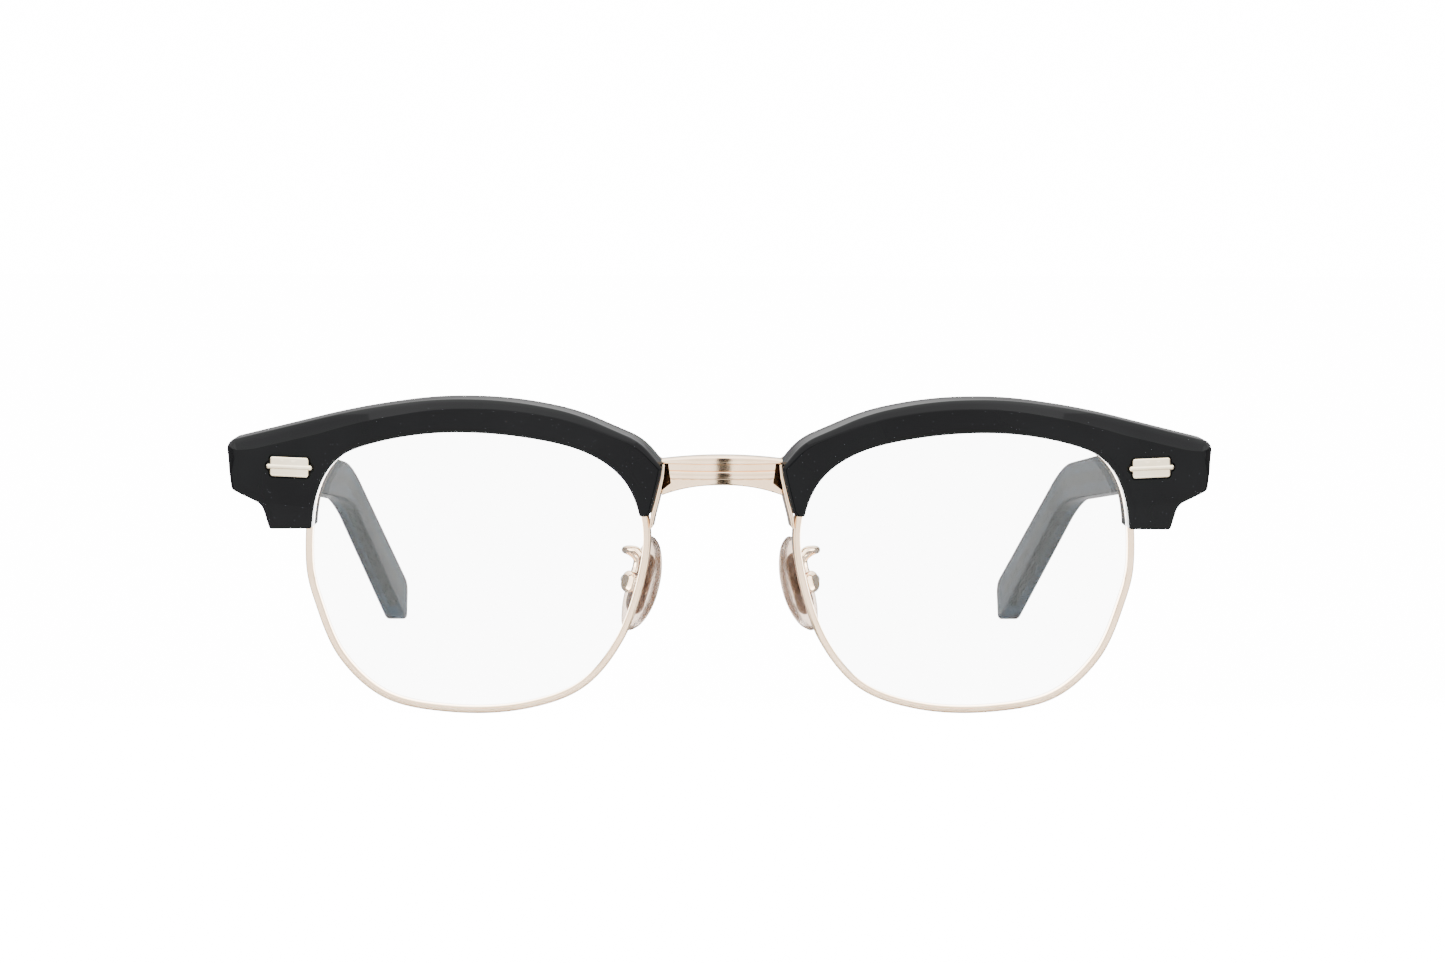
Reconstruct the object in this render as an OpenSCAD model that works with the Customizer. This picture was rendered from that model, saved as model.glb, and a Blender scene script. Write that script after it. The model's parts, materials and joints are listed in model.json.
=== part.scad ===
// Half rim (browline) eyeglasses.
// Glossy acetate brows carry full metal rims, a double ribbed metal bridge joins
// them, and acetate temples with a metal core fold on five barrel hinges.
//
// Frame: +Z up, +Y towards the ears, +X towards the wearer's left.
// The origin is on the table, below the middle of the frame as it stands on
// its rims and temple tips. Every length is in millimetres.

/* [Front] */
// Backward sweep of each half of the front, degrees
face_wrap = 6; // [4:0.5:8]
// Forward lean of the front as the frame stands on a table, degrees
front_lean = 4.5; // [3:0.5:6]
// Radius of the sphere that rims, lenses and brows follow
base_radius = 140; // [120:5:200]

/* [Rims and lenses] */
// Width of the rim wire seen from the front
rim_band = 1.1; // [0.9:0.1:1.4]
// Depth of the rim wire from front to back
rim_depth = 2; // [1.8:0.1:2.4]
// Thickness of each lens
lens_t = 1.2; // [1:0.1:1.3]
// How far the lens edge sits in the rim
lens_bite = 0.45; // [0.3:0.05:0.6]

/* [Brows] */
// Acetate in front of the rim
front_lip = 1.4; // [1.2:0.1:1.8]
// Acetate behind the rim
rear_lip = 2.6; // [2:0.1:3]

/* [Temples] */
// Length from the hinge axis to the end of the tip
temple_len = 145; // [140:1:150]
// Length of the straight part, from the hinge axis to the bend
temple_straight = 92; // [88:1:96]
// Downward bend of the tip, degrees
tip_bend = 23.3; // [20:0.1:27]
// Downward slope of the straight part as the frame stands, degrees
temple_slope = 5.5; // [4:0.5:7]
// Height at the hinge
temple_h = 7; // [6.5:0.1:7.5]
// Thickness
temple_t = 3.8; // [3.4:0.1:4.2]

/* [Hinges] */
// Diameter of the hinge barrels
barrel_d = 3; // [2.6:0.1:3.2]
// Height of one barrel
barrel_h = 1.1; // [1:0.05:1.2]
// Diameter of the hinge screws
hinge_screw_d = 1.2; // [1:0.1:1.4]

/* [Nose pads] */
// Length of a nose pad
pad_len = 14.6; // [13:0.1:16]
// Width of a nose pad
pad_w = 7.6; // [7:0.1:8.5]
// Thickness of a nose pad
pad_t = 2.4; // [2:0.1:2.8]
// Angle of a nose pad to straight ahead, seen from above, degrees
pad_splay = 35; // [30:1:40]
// Angle of a nose pad to upright, seen from the front, degrees
pad_tilt = 16; // [12:1:20]

/* [Hidden] */
$fn = 64;
SPHERE_FN = 400;
FIT = 0.05;        // radial clearance of a turning screw in its bore
GAP = 0.04;        // clearance between hinge barrels

nose_x = 9;        // where each half of the front meets the bridge
eye_x = 35.5;      // centre of the lens sphere, across
eye_z = -12.85;    // centre of the lens sphere, up

// Outer edge of the left rim, counter-clockwise from the temple side.
EYE = [
    [61.5, -12.5], [60.7, -3.0], [57.2, 3.1], [50.9, 6.0], [41.0, 7.65],
    [30.0, 7.3], [20.0, 5.1], [13.6, 0.6], [10.8, -6.5], [11.4, -14.5],
    [14.7, -24.0], [20.6, -31.1], [29.5, -34.4], [40.0, -35.0],
    [49.8, -33.2], [56.6, -27.3], [60.2, -19.0]
];

// Outline of the left brow as corners with radii [across, up, radius]. The
// stretch that runs through the lens opening is cut away by that opening.
BROW = [
    [73.8, 4.2, 1.5], [54.2, 9.5, 110], [42.2, 11.4, 58], [31.0, 11.4, 58],
    [21.6, 9.5, 32], [12.1, 5.4, 9], [8.9, 1.6, 0.4], [10.6, -5.45, 1.1],
    [14.0, -5.3, 0.2], [30.0, -2.0, 0.2], [56.0, -7.6, 0.2],
    [66.8, -8.3, 0.45], [68.0, -4.7, 2.2], [72.8, -2.8, 0.8]
];

hinge_pos = [64.2, 19.4, 0.5];    // left hinge axis, in the front's own frame
temple_gap = 1.8;                 // hinge axis to the temple's inner face
inward_shaft = 3.3;               // inward slant of the straight part, degrees
inward_tip = 8.4;                 // inward slant of the tip, degrees
bend_h = 6.4;                     // temple height at the bend
tip_h = 8.2;                      // temple height at the tip
core_h = 2.2;                     // height of the metal core
core_t = 1.2;                     // thickness of the metal core
tip_len = temple_len - temple_straight - tip_h / 2;
pad_pos = [13.2, 11.6, -16.6];    // left pad pivot, in the front's own frame
lock_pos = [61.7, 6.1, -3.7];     // rim lock screw, in the left half's frame
plaque_pos = [63.7, 1.0];         // middle of the end plaque
rivet_step = 3.4;                 // distance between the plaque's two pins
rivet_d = 1.1;
brow_screw_pos = [13.7, 3.3];
brow_screw_d = 1.2;

// ---- outlines --------------------------------------------------------------

// One point of the smooth curve through four neighbouring points.
function curve_point(a, b, c, d, t) =
    0.5 * (2 * b + (c - a) * t + (2 * a - 5 * b + 4 * c - d) * t * t
    + (3 * b - a - 3 * c + d) * t * t * t);

// Smooth closed curve through the points, with `steps` pieces between two.
function closed_curve(points, steps) =
    let (n = len(points))
    [for (i = [0 : n - 1], s = [0 : steps - 1])
        curve_point(points[(i + n - 1) % n], points[i], points[(i + 1) % n],
            points[(i + 2) % n], s / steps)];

// Smooth open curve through the points.
function open_curve(points, steps) =
    let (n = len(points), last = n - 1)
    concat([for (i = [0 : last - 1], s = [0 : steps - 1])
        curve_point(points[max(i - 1, 0)], points[i], points[i + 1],
            points[min(i + 2, last)], s / steps)], [points[last]]);

// The same direction, one long.
function unit(v) = v / norm(v);

// Moves every point of a counter-clockwise outline outwards by `d`.
function grown(points, d) =
    let (n = len(points))
    [for (i = [0 : n - 1])
        let (along = unit(points[(i + 1) % n] - points[(i + n - 1) % n]))
        points[i] + d * [along.y, -along.x]];

// Points of the arc that rounds corner `p` between its neighbours `a` and `b`.
function corner_arc(a, p, b, r, steps) =
    let (
        ua = unit(a - p),
        ub = unit(b - p),
        half = acos(ua * ub) / 2,
        middle = p + unit(ua + ub) * r / sin(half),
        from = p + ua * r / tan(half) - middle,
        to = p + ub * r / tan(half) - middle
    )
    [for (s = [0 : steps])
        let (v = from * (1 - s / steps) + to * s / steps)
        middle + r * unit(v)];

// Outline with every corner [x, y, r] rounded by its own radius.
function rounded(corners, steps = 6) =
    let (n = len(corners))
    [for (i = [0 : n - 1])
        let (a = corners[(i + n - 1) % n], p = corners[i], b = corners[(i + 1) % n])
        each corner_arc([a.x, a.y], [p.x, p.y], [b.x, b.y], p.z, steps)];

// Oval about the origin. A power below 1 makes it squarer.
function oval(length, width, power, steps) =
    [for (i = [0 : steps - 1])
        let (t = 360 * i / steps, c = cos(t), s = sin(t))
        [sign(c) * pow(abs(c), power) * width / 2,
         sign(s) * pow(abs(s), power) * length / 2]];

rim_outline = closed_curve(EYE, 4);
opening_outline = grown(rim_outline, -rim_band);
lens_outline = grown(opening_outline, lens_bite);
brow_outline = rounded(BROW);

// ---- placing ---------------------------------------------------------------

// How far the lens sphere lies behind its front point, at a place across and up.
function sag(p) =
    base_radius - sqrt(pow(base_radius, 2) - pow(p.x - eye_x, 2) - pow(p.y - eye_z, 2));

// Height of a rim point once the front has swept back and leant forward.
function rim_height(p) =
    ((p.x - nose_x) * sin(face_wrap) + sag(p) * cos(face_wrap)) * sin(front_lean)
    + p.y * cos(front_lean);

front_z = -min([for (p = rim_outline) rim_height(p)]);
hinge_y = hinge_pos.y * cos(front_lean) - hinge_pos.z * sin(front_lean);
hinge_z = hinge_pos.y * sin(front_lean) + hinge_pos.z * cos(front_lean);
temple_reach = temple_straight * cos(temple_slope)
    + tip_len * cos(temple_slope + tip_bend) + tip_h * 0.47;
front_y = -(hinge_y + temple_reach + 1.2) / 2;

// The whole front, in its own frame: the bridge is at the origin.
module in_front() {
    translate([0, front_y, front_z])
        rotate([front_lean, 0, 0])
            children();
}

// The left half of the front, swept back from the bridge.
module in_half() {
    translate([nose_x, 0, 0])
        rotate([0, 0, face_wrap])
            translate([-nose_x, 0, 0])
                children();
}

// The left temple, with the hinge axis along its Z axis.
module in_temple() {
    translate([hinge_pos.x, front_y + hinge_y, front_z + hinge_z])
        rotate([-temple_slope, 0, 0])
            children();
}

// The left nose pad: X points away from the nose, Z along the pad.
module in_pad() {
    in_front()
        translate(pad_pos)
            rotate([0, -pad_tilt, 0])
                rotate([0, 0, -pad_splay])
                    children();
}

// Extrudes an outline drawn across and up, from depth y0 to y1.
module standing(y0, y1) {
    translate([0, y1, 0])
        rotate([90, 0, 0])
            linear_extrude(y1 - y0)
                children();
}

// Extrudes an outline through the whole depth of the front.
module through() {
    standing(-9, 30) children();
}

// Everything behind the lens sphere moved back by `depth`.
module behind(depth) {
    translate([eye_x, base_radius, eye_z])
        sphere(r = base_radius - depth, $fn = SPHERE_FN);
}

// A plate with the given outline that follows the lens sphere.
module curved_plate(outline, front, back) {
    difference() {
        intersection() {
            standing(-6, 26) polygon(outline);
            behind(front);
        }
        behind(back);
    }
}

// Cylinder from front to back at a place across and up.
module pin(place, d, y0 = -9, y1 = 30) {
    standing(y0, y1)
        translate([place.x, place.y])
            circle(d = d);
}

// Screw along Z: its head sits on the plane z = 0, with a slot across it.
module screw(d, length, head_d, head_h, slot_w) {
    difference() {
        union() {
            translate([0, 0, -length])
                cylinder(d = d, h = length);
            cylinder(d = head_d, h = head_h);
        }
        translate([-head_d, -slot_w / 2, head_h / 2])
            cube([2 * head_d, slot_w, head_h]);
    }
}

// ---- front -----------------------------------------------------------------

rivet_places = [for (s = [-1, 1]) plaque_pos + [s * rivet_step / 2, 0]];
rear_depth = rim_depth + rear_lip;    // back of the brows, behind the lens sphere
lock_size = [2.2, 3.6, 4.4];
lock_gap = 0.3;                       // saw cut between the two lock blocks
lock_room = 0.1;                      // room round the blocks in the brow
lock_shift = 0.3;                     // blocks stand this far in front of their screw
lock_screw_d = 1.1;
lock_head_d = 1.7;
head_h = 0.6;
slot_w = 0.3;

// The two lock blocks in one, grown on every side.
module lock_blank(grow = 0) {
    translate([lock_pos.x, lock_pos.y - lock_shift, lock_pos.z])
        cube(lock_size + grow * [2, 2, 2], center = true);
}

// Gap that the saw leaves through the rim and between the blocks.
module lock_cut() {
    translate([lock_pos.x - 3, -4, lock_pos.z - lock_gap / 2])
        cube([7, 16, lock_gap]);
}

// Hole through the foot of the brow that lets a driver reach the lock screw.
module driver_hole() {
    translate([lock_pos.x, lock_pos.y, lock_pos.z - 8])
        cylinder(d = lock_head_d + 2 * lock_room, h = 8);
}

// Acetate bar along the top of a lens, with a seat for the rim.
module brow() {
    color([0.06, 0.06, 0.07])
        in_front() in_half()
            difference() {
                curved_plate(brow_outline, -front_lip, rear_depth);
                through() polygon(opening_outline);
                curved_plate(rim_outline, 0, rim_depth);
                lock_blank(lock_room);
                driver_hole();
                for (place = rivet_places)
                    pin(place, rivet_d);
                pin(brow_screw_pos, brow_screw_d, brow_screw_tip);
            }
}

// Metal rim with an inner groove for the lens, sawn through at its lock.
module rim() {
    color([0.85, 0.70, 0.58])
        in_front() in_half()
            difference() {
                curved_plate(rim_outline, 0, rim_depth);
                through() polygon(opening_outline);
                curved_plate(lens_outline, (rim_depth - lens_t) / 2, (rim_depth + lens_t) / 2);
                lock_cut();
            }
}

// Clear lens with both faces on spheres.
module lens() {
    color([0.80, 0.87, 0.90, 0.35])
        in_front() in_half()
            curved_plate(lens_outline, (rim_depth - lens_t) / 2, (rim_depth + lens_t) / 2);
}

// Two blocks soldered to the cut ends of the rim, drawn together by a screw.
module rim_lock() {
    color([0.85, 0.70, 0.58])
        in_front() in_half()
            difference() {
                intersection() {
                    lock_blank();
                    behind(rim_depth);
                }
                lock_cut();
                translate([lock_pos.x, lock_pos.y, lock_pos.z - lock_size.z])
                    cylinder(d = lock_screw_d, h = 2 * lock_size.z);
            }
}

// Screw up through both lock blocks, its head below them.
module rim_lock_screw() {
    color([0.80, 0.78, 0.74])
        in_front() in_half()
            translate([lock_pos.x, lock_pos.y, lock_pos.z - lock_size.z / 2])
                rotate([180, 0, 0])
                    screw(lock_screw_d, lock_size.z, lock_head_d, head_h, slot_w);
}

plaque_size = [6.0, 2.9];
plaque_ears = [7.2, 1.1];     // size across both ears
plaque_t = 0.7;
end_t = 1.2;                  // thickness of the end piece

// Outline of a plate of a size and corner radius, about the plaque's middle.
function plate_outline(size, r) =
    rounded([for (c = [[1, 1], [-1, 1], [-1, -1], [1, -1]])
        [plaque_pos.x + c.x * size.x / 2, plaque_pos.y + c.y * size.y / 2, r]]);

plaque_outline = plate_outline(plaque_size, 0.45);
ear_outline = plate_outline(plaque_ears, 0.5);

// Shield on the front of the brow, with two pins that hold the end piece.
module end_plaque() {
    color([0.87, 0.80, 0.73])
        in_front() in_half() {
            curved_plate(plaque_outline, -front_lip - plaque_t, -front_lip);
            difference() {
                curved_plate(ear_outline, -front_lip - plaque_t, -front_lip);
                through() polygon(plaque_outline);
            }
            difference() {
                intersection() {
                    for (place = rivet_places)
                        pin(place, rivet_d);
                    behind(-front_lip);
                }
                behind(rear_depth + end_t);
            }
        }
}

end_outline = rounded([
    [67.6, 4.6, 1.2], [62.8, 4.9, 1.0], [62.8, -2.4, 0.4], [67.3, -2.2, 1.2]]);

// Metal plate behind the brow, between the rim lock and the hinge.
module end_piece() {
    color([0.85, 0.70, 0.58])
        in_front() in_half()
            difference() {
                curved_plate(end_outline, rear_depth, rear_depth + end_t);
                for (place = rivet_places)
                    pin(place, rivet_d);
            }
}

tab_t = 0.6;                  // thickness of the bridge's screw ear
brow_screw_tip = 3.4;         // depth of the end of the brow screw
brow_head_d = 2.0;
tab_outline = rounded([
    [15.4, 4.9, 1.0], [12.6, 4.3, 1.0], [8.4, 1.6, 0.3], [8.7, -0.9, 0.3], [12.0, -0.2, 0.5],
    [15.2, 2.2, 1.0]]);

// Screw through the ear of the bridge into the back of the brow.
module brow_screw() {
    color([0.80, 0.78, 0.74])
        in_front() in_half()
            difference() {
                union() {
                    intersection() {
                        pin(brow_screw_pos, brow_screw_d, brow_screw_tip);
                        curved_plate(brow_outline, -front_lip, rear_depth + tab_t);
                    }
                    intersection() {
                        pin(brow_screw_pos, brow_head_d);
                        difference() {
                            behind(rear_depth + tab_t);
                            behind(rear_depth + tab_t + head_h);
                        }
                    }
                }
                translate([
                    brow_screw_pos.x - brow_head_d,
                    sag(brow_screw_pos) + rear_depth + tab_t + head_h / 2,
                    brow_screw_pos.y - slot_w / 2])
                    cube([2 * brow_head_d, 3, slot_w]);
            }
}

bridge_front = 1.9;
bridge_back = 4.3;
bridge_half = 9.6;            // half the width of the bar before the brows cut it
rib_d = 1.5;
rib_len = 15.4;
rib_heights = [2.75, 0.4];

function bridge_top(x) = 3.55 - 0.65 * pow(x / 8.5, 2);
function bridge_bottom(x) = -0.95 - 2.1 * pow(abs(x) / bridge_half, 2.2);

collar_outline = [[8.95, 2.1], [8.2, 2.1], [8.35, 0.4], [9.2, -3.2], [10.0, -6.0], [10.1, -9.0],
    [11.4, -9.0], [11.4, -5.0], [10.3, -2.0]];

// Edge of the strap that runs back round the brow end to the screw ear.
strap_outline = [[9.9, 2.2], [8.2, 2.1], [8.35, 0.4], [8.75, -1.2], [10.2, -1.2]];

// Bar of the bridge: a plate with an arched lower edge and two ribs.
module bridge_bar() {
    standing(bridge_front, bridge_back)
        polygon(concat(
            [for (x = [-9 : 3 : 9]) [x, bridge_top(x)]],
            [for (x = [bridge_half : -1.2 : -bridge_half]) [x, bridge_bottom(x)]]));
    for (rib_z = rib_heights)
        translate([0, bridge_front + 0.1, rib_z])
            rotate([0, 90, 0])
                cylinder(d = rib_d, h = rib_len, center = true);
}

// Collar that hugs the nose end of a brow and runs down to the rim.
module bridge_collar() {
    in_half() {
        curved_plate(collar_outline, -0.6, rim_depth + 0.8);
        curved_plate(strap_outline, -0.6, rear_depth + tab_t);
    }
}

// Ear of the bridge that lies behind a brow and takes its screw.
module bridge_ear() {
    in_half()
        difference() {
            curved_plate(tab_outline, rear_depth, rear_depth + tab_t);
            pin(brow_screw_pos, brow_screw_d);
        }
}

// Room that the bridge leaves for the brow and the rim.
module brow_and_rim_space() {
    in_half() {
        through() polygon(rim_outline);
        difference() {
            through() polygon(brow_outline);
            behind(rear_depth);
        }
    }
}

module bridge() {
    color([0.85, 0.70, 0.58])
        in_front() {
            difference() {
                union() {
                    bridge_bar();
                    bridge_collar();
                    mirror([1, 0, 0]) bridge_collar();
                }
                brow_and_rim_space();
                mirror([1, 0, 0]) brow_and_rim_space();
            }
            bridge_ear();
            mirror([1, 0, 0]) bridge_ear();
        }
}

// ---- hinges ----------------------------------------------------------------

barrels = 5;

// Height of the lower end of a barrel, counted from the lowest.
function barrel_z(i) = (i - barrels / 2) * barrel_h;

// Barrels of one leaf, `first` is 0 for the front leaf and 1 for the temple's.
module leaf_barrels(first) {
    for (i = [first : 2 : barrels - 1])
        translate([0, 0, barrel_z(i) + GAP / 2])
            cylinder(d = barrel_d, h = barrel_h - GAP);
}

// Bore along the hinge axis for its screw.
module screw_bore() {
    translate([0, 0, -10])
        cylinder(d = hinge_screw_d + 2 * FIT, h = 20);
}

// Three barrels on a foot that stands on the end piece.
module front_hinge() {
    color([0.80, 0.78, 0.74])
        difference() {
            union() {
                in_temple() leaf_barrels(0);
                intersection() {
                    in_temple() {
                        for (i = [0 : 2 : barrels - 1])
                            translate([-barrel_d / 2, -6, barrel_z(i) + GAP / 2])
                                cube([barrel_d, 6, barrel_h - GAP]);
                        translate([-2.6, -6, -2.75])
                            cube([3.9, 4, 5.5]);
                    }
                    in_front() in_half() behind(rear_depth + end_t);
                }
            }
            in_temple() screw_bore();
        }
}

leaf_t = 0.9;
leaf_len = 14;
leaf_h = 4.6;
barrel_room = 0.15;           // room round the front barrels in the temple's leaf
temple_rivet_y = [7, 11];
temple_rivet_d = 1.3;
hinge_head_d = 2.2;
hinge_slot_w = 0.4;

// Holes for the pins through the temple and its hinge leaf, or the pins.
module temple_pins() {
    for (y = temple_rivet_y)
        translate([0, y, 0])
            rotate([0, 90, 0])
                cylinder(d = temple_rivet_d, h = 24, center = true);
}

// Two barrels on a long leaf that lies along the temple.
module temple_hinge() {
    color([0.80, 0.78, 0.74])
        in_temple()
            difference() {
                union() {
                    leaf_barrels(1);
                    for (i = [1 : 2 : barrels - 1])
                        translate([0, 0, barrel_z(i) + GAP / 2])
                            cube([temple_gap - leaf_t / 2, barrel_d / 2, barrel_h - GAP]);
                    translate([temple_gap - leaf_t / cos(inward_shaft), 0, 0])
                        rotate([0, 0, inward_shaft])
                            translate([0, 0.4, -leaf_h / 2])
                                cube([leaf_t, leaf_len, leaf_h]);
                }
                screw_bore();
                temple_pins();
                for (i = [0 : 2 : barrels - 1])
                    translate([0, 0, barrel_z(i) - GAP / 2])
                        cylinder(d = barrel_d + 2 * barrel_room, h = barrel_h + GAP);
            }
}

// Screw down the hinge axis, its head on the top barrel.
module hinge_screw() {
    color([0.80, 0.78, 0.74])
        in_temple()
            translate([0, 0, barrel_z(barrels)])
                screw(hinge_screw_d, barrels * barrel_h, hinge_head_d, head_h, hinge_slot_w);
}

// ---- temples ---------------------------------------------------------------

// Side view of a strip that follows the temple, from y0 to `cut` short of the
// end, with its heights at the hinge, the bend and the tip.
function strip_side(y0, cut, h0, h1, h2, r) =
    let (
        down = tip_bend,
        turn = tan(down / 2) * h1 / 2,
        reach = tip_len + tip_h / 2 - cut,
        end = [temple_straight + reach * cos(down), -reach * sin(down)],
        up = h2 / 2 * [sin(down), cos(down)]
    )
    rounded([
        [end.x + up.x, end.y + up.y, r],
        [temple_straight + turn, h1 / 2, 40],
        [y0, h0 / 2, 0.2],
        [y0, -h0 / 2, 0.2],
        [temple_straight - turn, -h1 / 2, 40],
        [end.x - up.x, end.y - up.y, r]
    ], 10);

// Top view of the same strip, between two distances from its inner face.
function strip_top(from, to) =
    let (
        start = -8,
        far = 150,
        inner = temple_gap,
        bend_x = inner - temple_straight * tan(inward_shaft),
        end_x = bend_x - (far - temple_straight) * tan(inward_tip),
        start_x = inner - start * tan(inward_shaft)
    )
    rounded([
        [start_x + from, start, 0.2], [start_x + to, start, 0.2],
        [bend_x + to, temple_straight, 80], [end_x + to, far, 0.2],
        [end_x + from, far, 0.2], [bend_x + from, temple_straight, 80]
    ], 6);

// Strip with the given side view and top view.
module strip(side, top) {
    intersection() {
        translate([-40, 0, 0])
            rotate([90, 0, 90])
                linear_extrude(80)
                    polygon(side);
        translate([0, 0, -60])
            linear_extrude(80)
                polygon(top);
    }
}

temple_side = strip_side(-8, 0, temple_h, bend_h, tip_h, tip_h / 2 - 0.1);
temple_clear = 0.4;           // open temple's front end to the back of the brow
pin_proud = 0.2;              // how far the temple's pins stand out

// Flat wire along the middle of the temple.
module core_strip() {
    strip(
        strip_side(16, 6, core_h, core_h, core_h, 1),
        strip_top((temple_t - core_t) / 2, (temple_t + core_t) / 2));
}

// Temple, with its front end following the back of the brow.
module temple() {
    color([0.20, 0.26, 0.30, 0.9])
        difference() {
            intersection() {
                in_temple()
                    strip(temple_side, strip_top(0, temple_t));
                in_front() in_half() behind(rear_depth + temple_clear);
            }
            in_temple() {
                core_strip();
                temple_pins();
            }
        }
}

// Metal core that stiffens the temple.
module temple_core() {
    color([0.83, 0.72, 0.60])
        in_temple()
            core_strip();
}

// Two pins through the temple that hold its hinge leaf.
module temple_rivets() {
    color([0.87, 0.80, 0.73])
        in_temple()
            intersection() {
                temple_pins();
                strip(temple_side, strip_top(-leaf_t - pin_proud, temple_t + pin_proud));
            }
}

// ---- nose pads -------------------------------------------------------------

core_plate = [0.8, 4.2, 9.4];
lug = [2.6, 1.1, 2.0];
box_size = [1.72, 2.9, 3.2];
box_front = -0.55;    // pad side of the box, from the pivot
box_room = [0.15, 0.1, 0.3];    // room round the lug in the box
pad_screw_d = 0.9;
pad_head = [1.5, 0.5];    // width and height of the pad screw's head
pad_face = -3.2;      // nose side of the pad, from the pivot
pad_crown = 26;       // radius of the rounded nose side

// Plate in the middle of the pad.
module pad_plate() {
    translate([pad_face + pad_t / 2, 0, 0])
        cube(core_plate, center = true);
}

// Lug on the plate, grown on every side by `room`.
module pad_lug(room = [0, 0, 0]) {
    translate([pad_face + pad_t / 2, -lug.y / 2 - room.y, -lug.z / 2 - room.z])
        cube([lug.x + room.x, lug.y + 2 * room.y, lug.z + 2 * room.z]);
}

// Soft pad with a rounded nose side, moulded round its plate.
module nose_pad() {
    color([0.90, 0.90, 0.88, 0.6])
        in_pad()
            difference() {
                intersection() {
                    translate([pad_face, 0, 0])
                        rotate([90, 0, 90])
                            linear_extrude(pad_t)
                                polygon(oval(pad_len, pad_w, 0.9, 56));
                    translate([pad_face + pad_crown, 0, 0])
                        sphere(r = pad_crown, $fn = 160);
                }
                pad_plate();
                pad_lug();
            }
}

// Stiff plate inside the pad, with the lug that turns in the pad arm's box.
module pad_core() {
    color([0.62, 0.54, 0.48])
        in_pad()
            difference() {
                union() {
                    pad_plate();
                    pad_lug();
                }
                rotate([90, 0, 0])
                    cylinder(d = pad_screw_d + 2 * FIT, h = 10, center = true);
            }
}

// Screw through the box and the lug, on the axis that the pad rocks about.
module pad_screw() {
    color([0.80, 0.78, 0.74])
        in_pad()
            rotate([-90, 0, 0])
                translate([0, 0, box_size.y / 2])
                    screw(pad_screw_d, box_size.y, pad_head.x, pad_head.y, slot_w);
}

// Round wire along a route, as rings of points joined by faces.
module wire(route, d, sides = 10) {
    n = len(route);
    rings = [
        for (i = [0 : n - 1])
            let (
                along = unit(route[min(i + 1, n - 1)] - route[max(i - 1, 0)]),
                across = unit(cross(along, [0.35, 0.9, 0.2])),
                third = cross(along, across)
            )
            for (k = [0 : sides - 1])
                route[i] + d / 2 * (cos(360 * k / sides) * across + sin(360 * k / sides) * third)
    ];
    polyhedron(rings, concat(
        [[for (k = [0 : sides - 1]) k]],
        [for (i = [0 : n - 2], k = [0 : sides - 1])
            let (
                here = i * sides + k,
                beside = i * sides + (k + 1) % sides
            )
            each [[here, here + sides, beside + sides], [here, beside + sides, beside]]],
        [[for (k = [sides - 1 : -1 : 0]) (n - 1) * sides + k]]), convexity = 6);
}

arm_route = [[12.75, 11.24, -15.04], [12.48, 11.24, -14.1], [12.45, 10.7, -12.9],
    [13.3, 9.7, -11.9], [14.1, 8.3, -11.3], [13.6, 6.9, -10.9], [12.4, 5.8, -10.9],
    [11.6, 5.05, -11.7]];
arm_d = 1.0;

// Bent wire from the rim to the pad box.
module pad_arm() {
    color([0.85, 0.70, 0.58])
        in_front()
            wire(open_curve(arm_route, 2), arm_d);
}

// Open box at the end of the pad arm, where the pad's lug turns on its screw.
module pad_box() {
    color([0.85, 0.70, 0.58])
        in_pad()
            difference() {
                translate([box_front, -box_size.y / 2, -box_size.z / 2])
                    cube(box_size);
                pad_lug(box_room);
                rotate([90, 0, 0])
                    cylinder(d = pad_screw_d, h = 10, center = true);
            }
}

// ---- nodes -----------------------------------------------------------------

// Mirrors a left piece to the wearer's right.
module right_side() {
    mirror([1, 0, 0]) children();
}

bridge();
brow();  // brow_left
right_side() brow();  // brow_right
rim();  // rim_left
right_side() rim();  // rim_right
lens();  // lens_left
right_side() lens();  // lens_right
rim_lock();  // rim_lock_left
right_side() rim_lock();  // rim_lock_right
rim_lock_screw();  // rim_lock_screw_left
right_side() rim_lock_screw();  // rim_lock_screw_right
end_plaque();  // end_plaque_left
right_side() end_plaque();  // end_plaque_right
end_piece();  // end_piece_left
right_side() end_piece();  // end_piece_right
brow_screw();  // brow_screw_left
right_side() brow_screw();  // brow_screw_right
front_hinge();  // front_hinge_left
right_side() front_hinge();  // front_hinge_right
temple_hinge();  // temple_hinge_left
right_side() temple_hinge();  // temple_hinge_right
hinge_screw();  // hinge_screw_left
right_side() hinge_screw();  // hinge_screw_right
temple();  // temple_left
right_side() temple();  // temple_right
temple_core();  // temple_core_left
right_side() temple_core();  // temple_core_right
temple_rivets();  // temple_rivets_left
right_side() temple_rivets();  // temple_rivets_right
pad_arm();  // pad_arm_left
right_side() pad_arm();  // pad_arm_right
pad_box();  // pad_box_left
right_side() pad_box();  // pad_box_right
pad_core();  // pad_core_left
right_side() pad_core();  // pad_core_right
pad_screw();  // pad_screw_left
right_side() pad_screw();  // pad_screw_right
nose_pad();  // nose_pad_left
right_side() nose_pad();  // nose_pad_right
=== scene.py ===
"""Looks of a pair of browline eyeglasses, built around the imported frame.

The front is drawn in two mirrored halves. A point of the left half is given as
across, depth and up, in millimetres, with the bridge at the origin. HalfPlace
carries such a point into the world, in metres. The temple and the nose pad have
frames of their own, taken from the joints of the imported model.
"""

import json
import logging
import math
from collections.abc import Callable
from dataclasses import dataclass, field
from enum import Enum

import bmesh
import bpy
import numpy as np
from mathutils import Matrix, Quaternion, Vector
from mathutils.geometry import delaunay_2d_cdt


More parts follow.
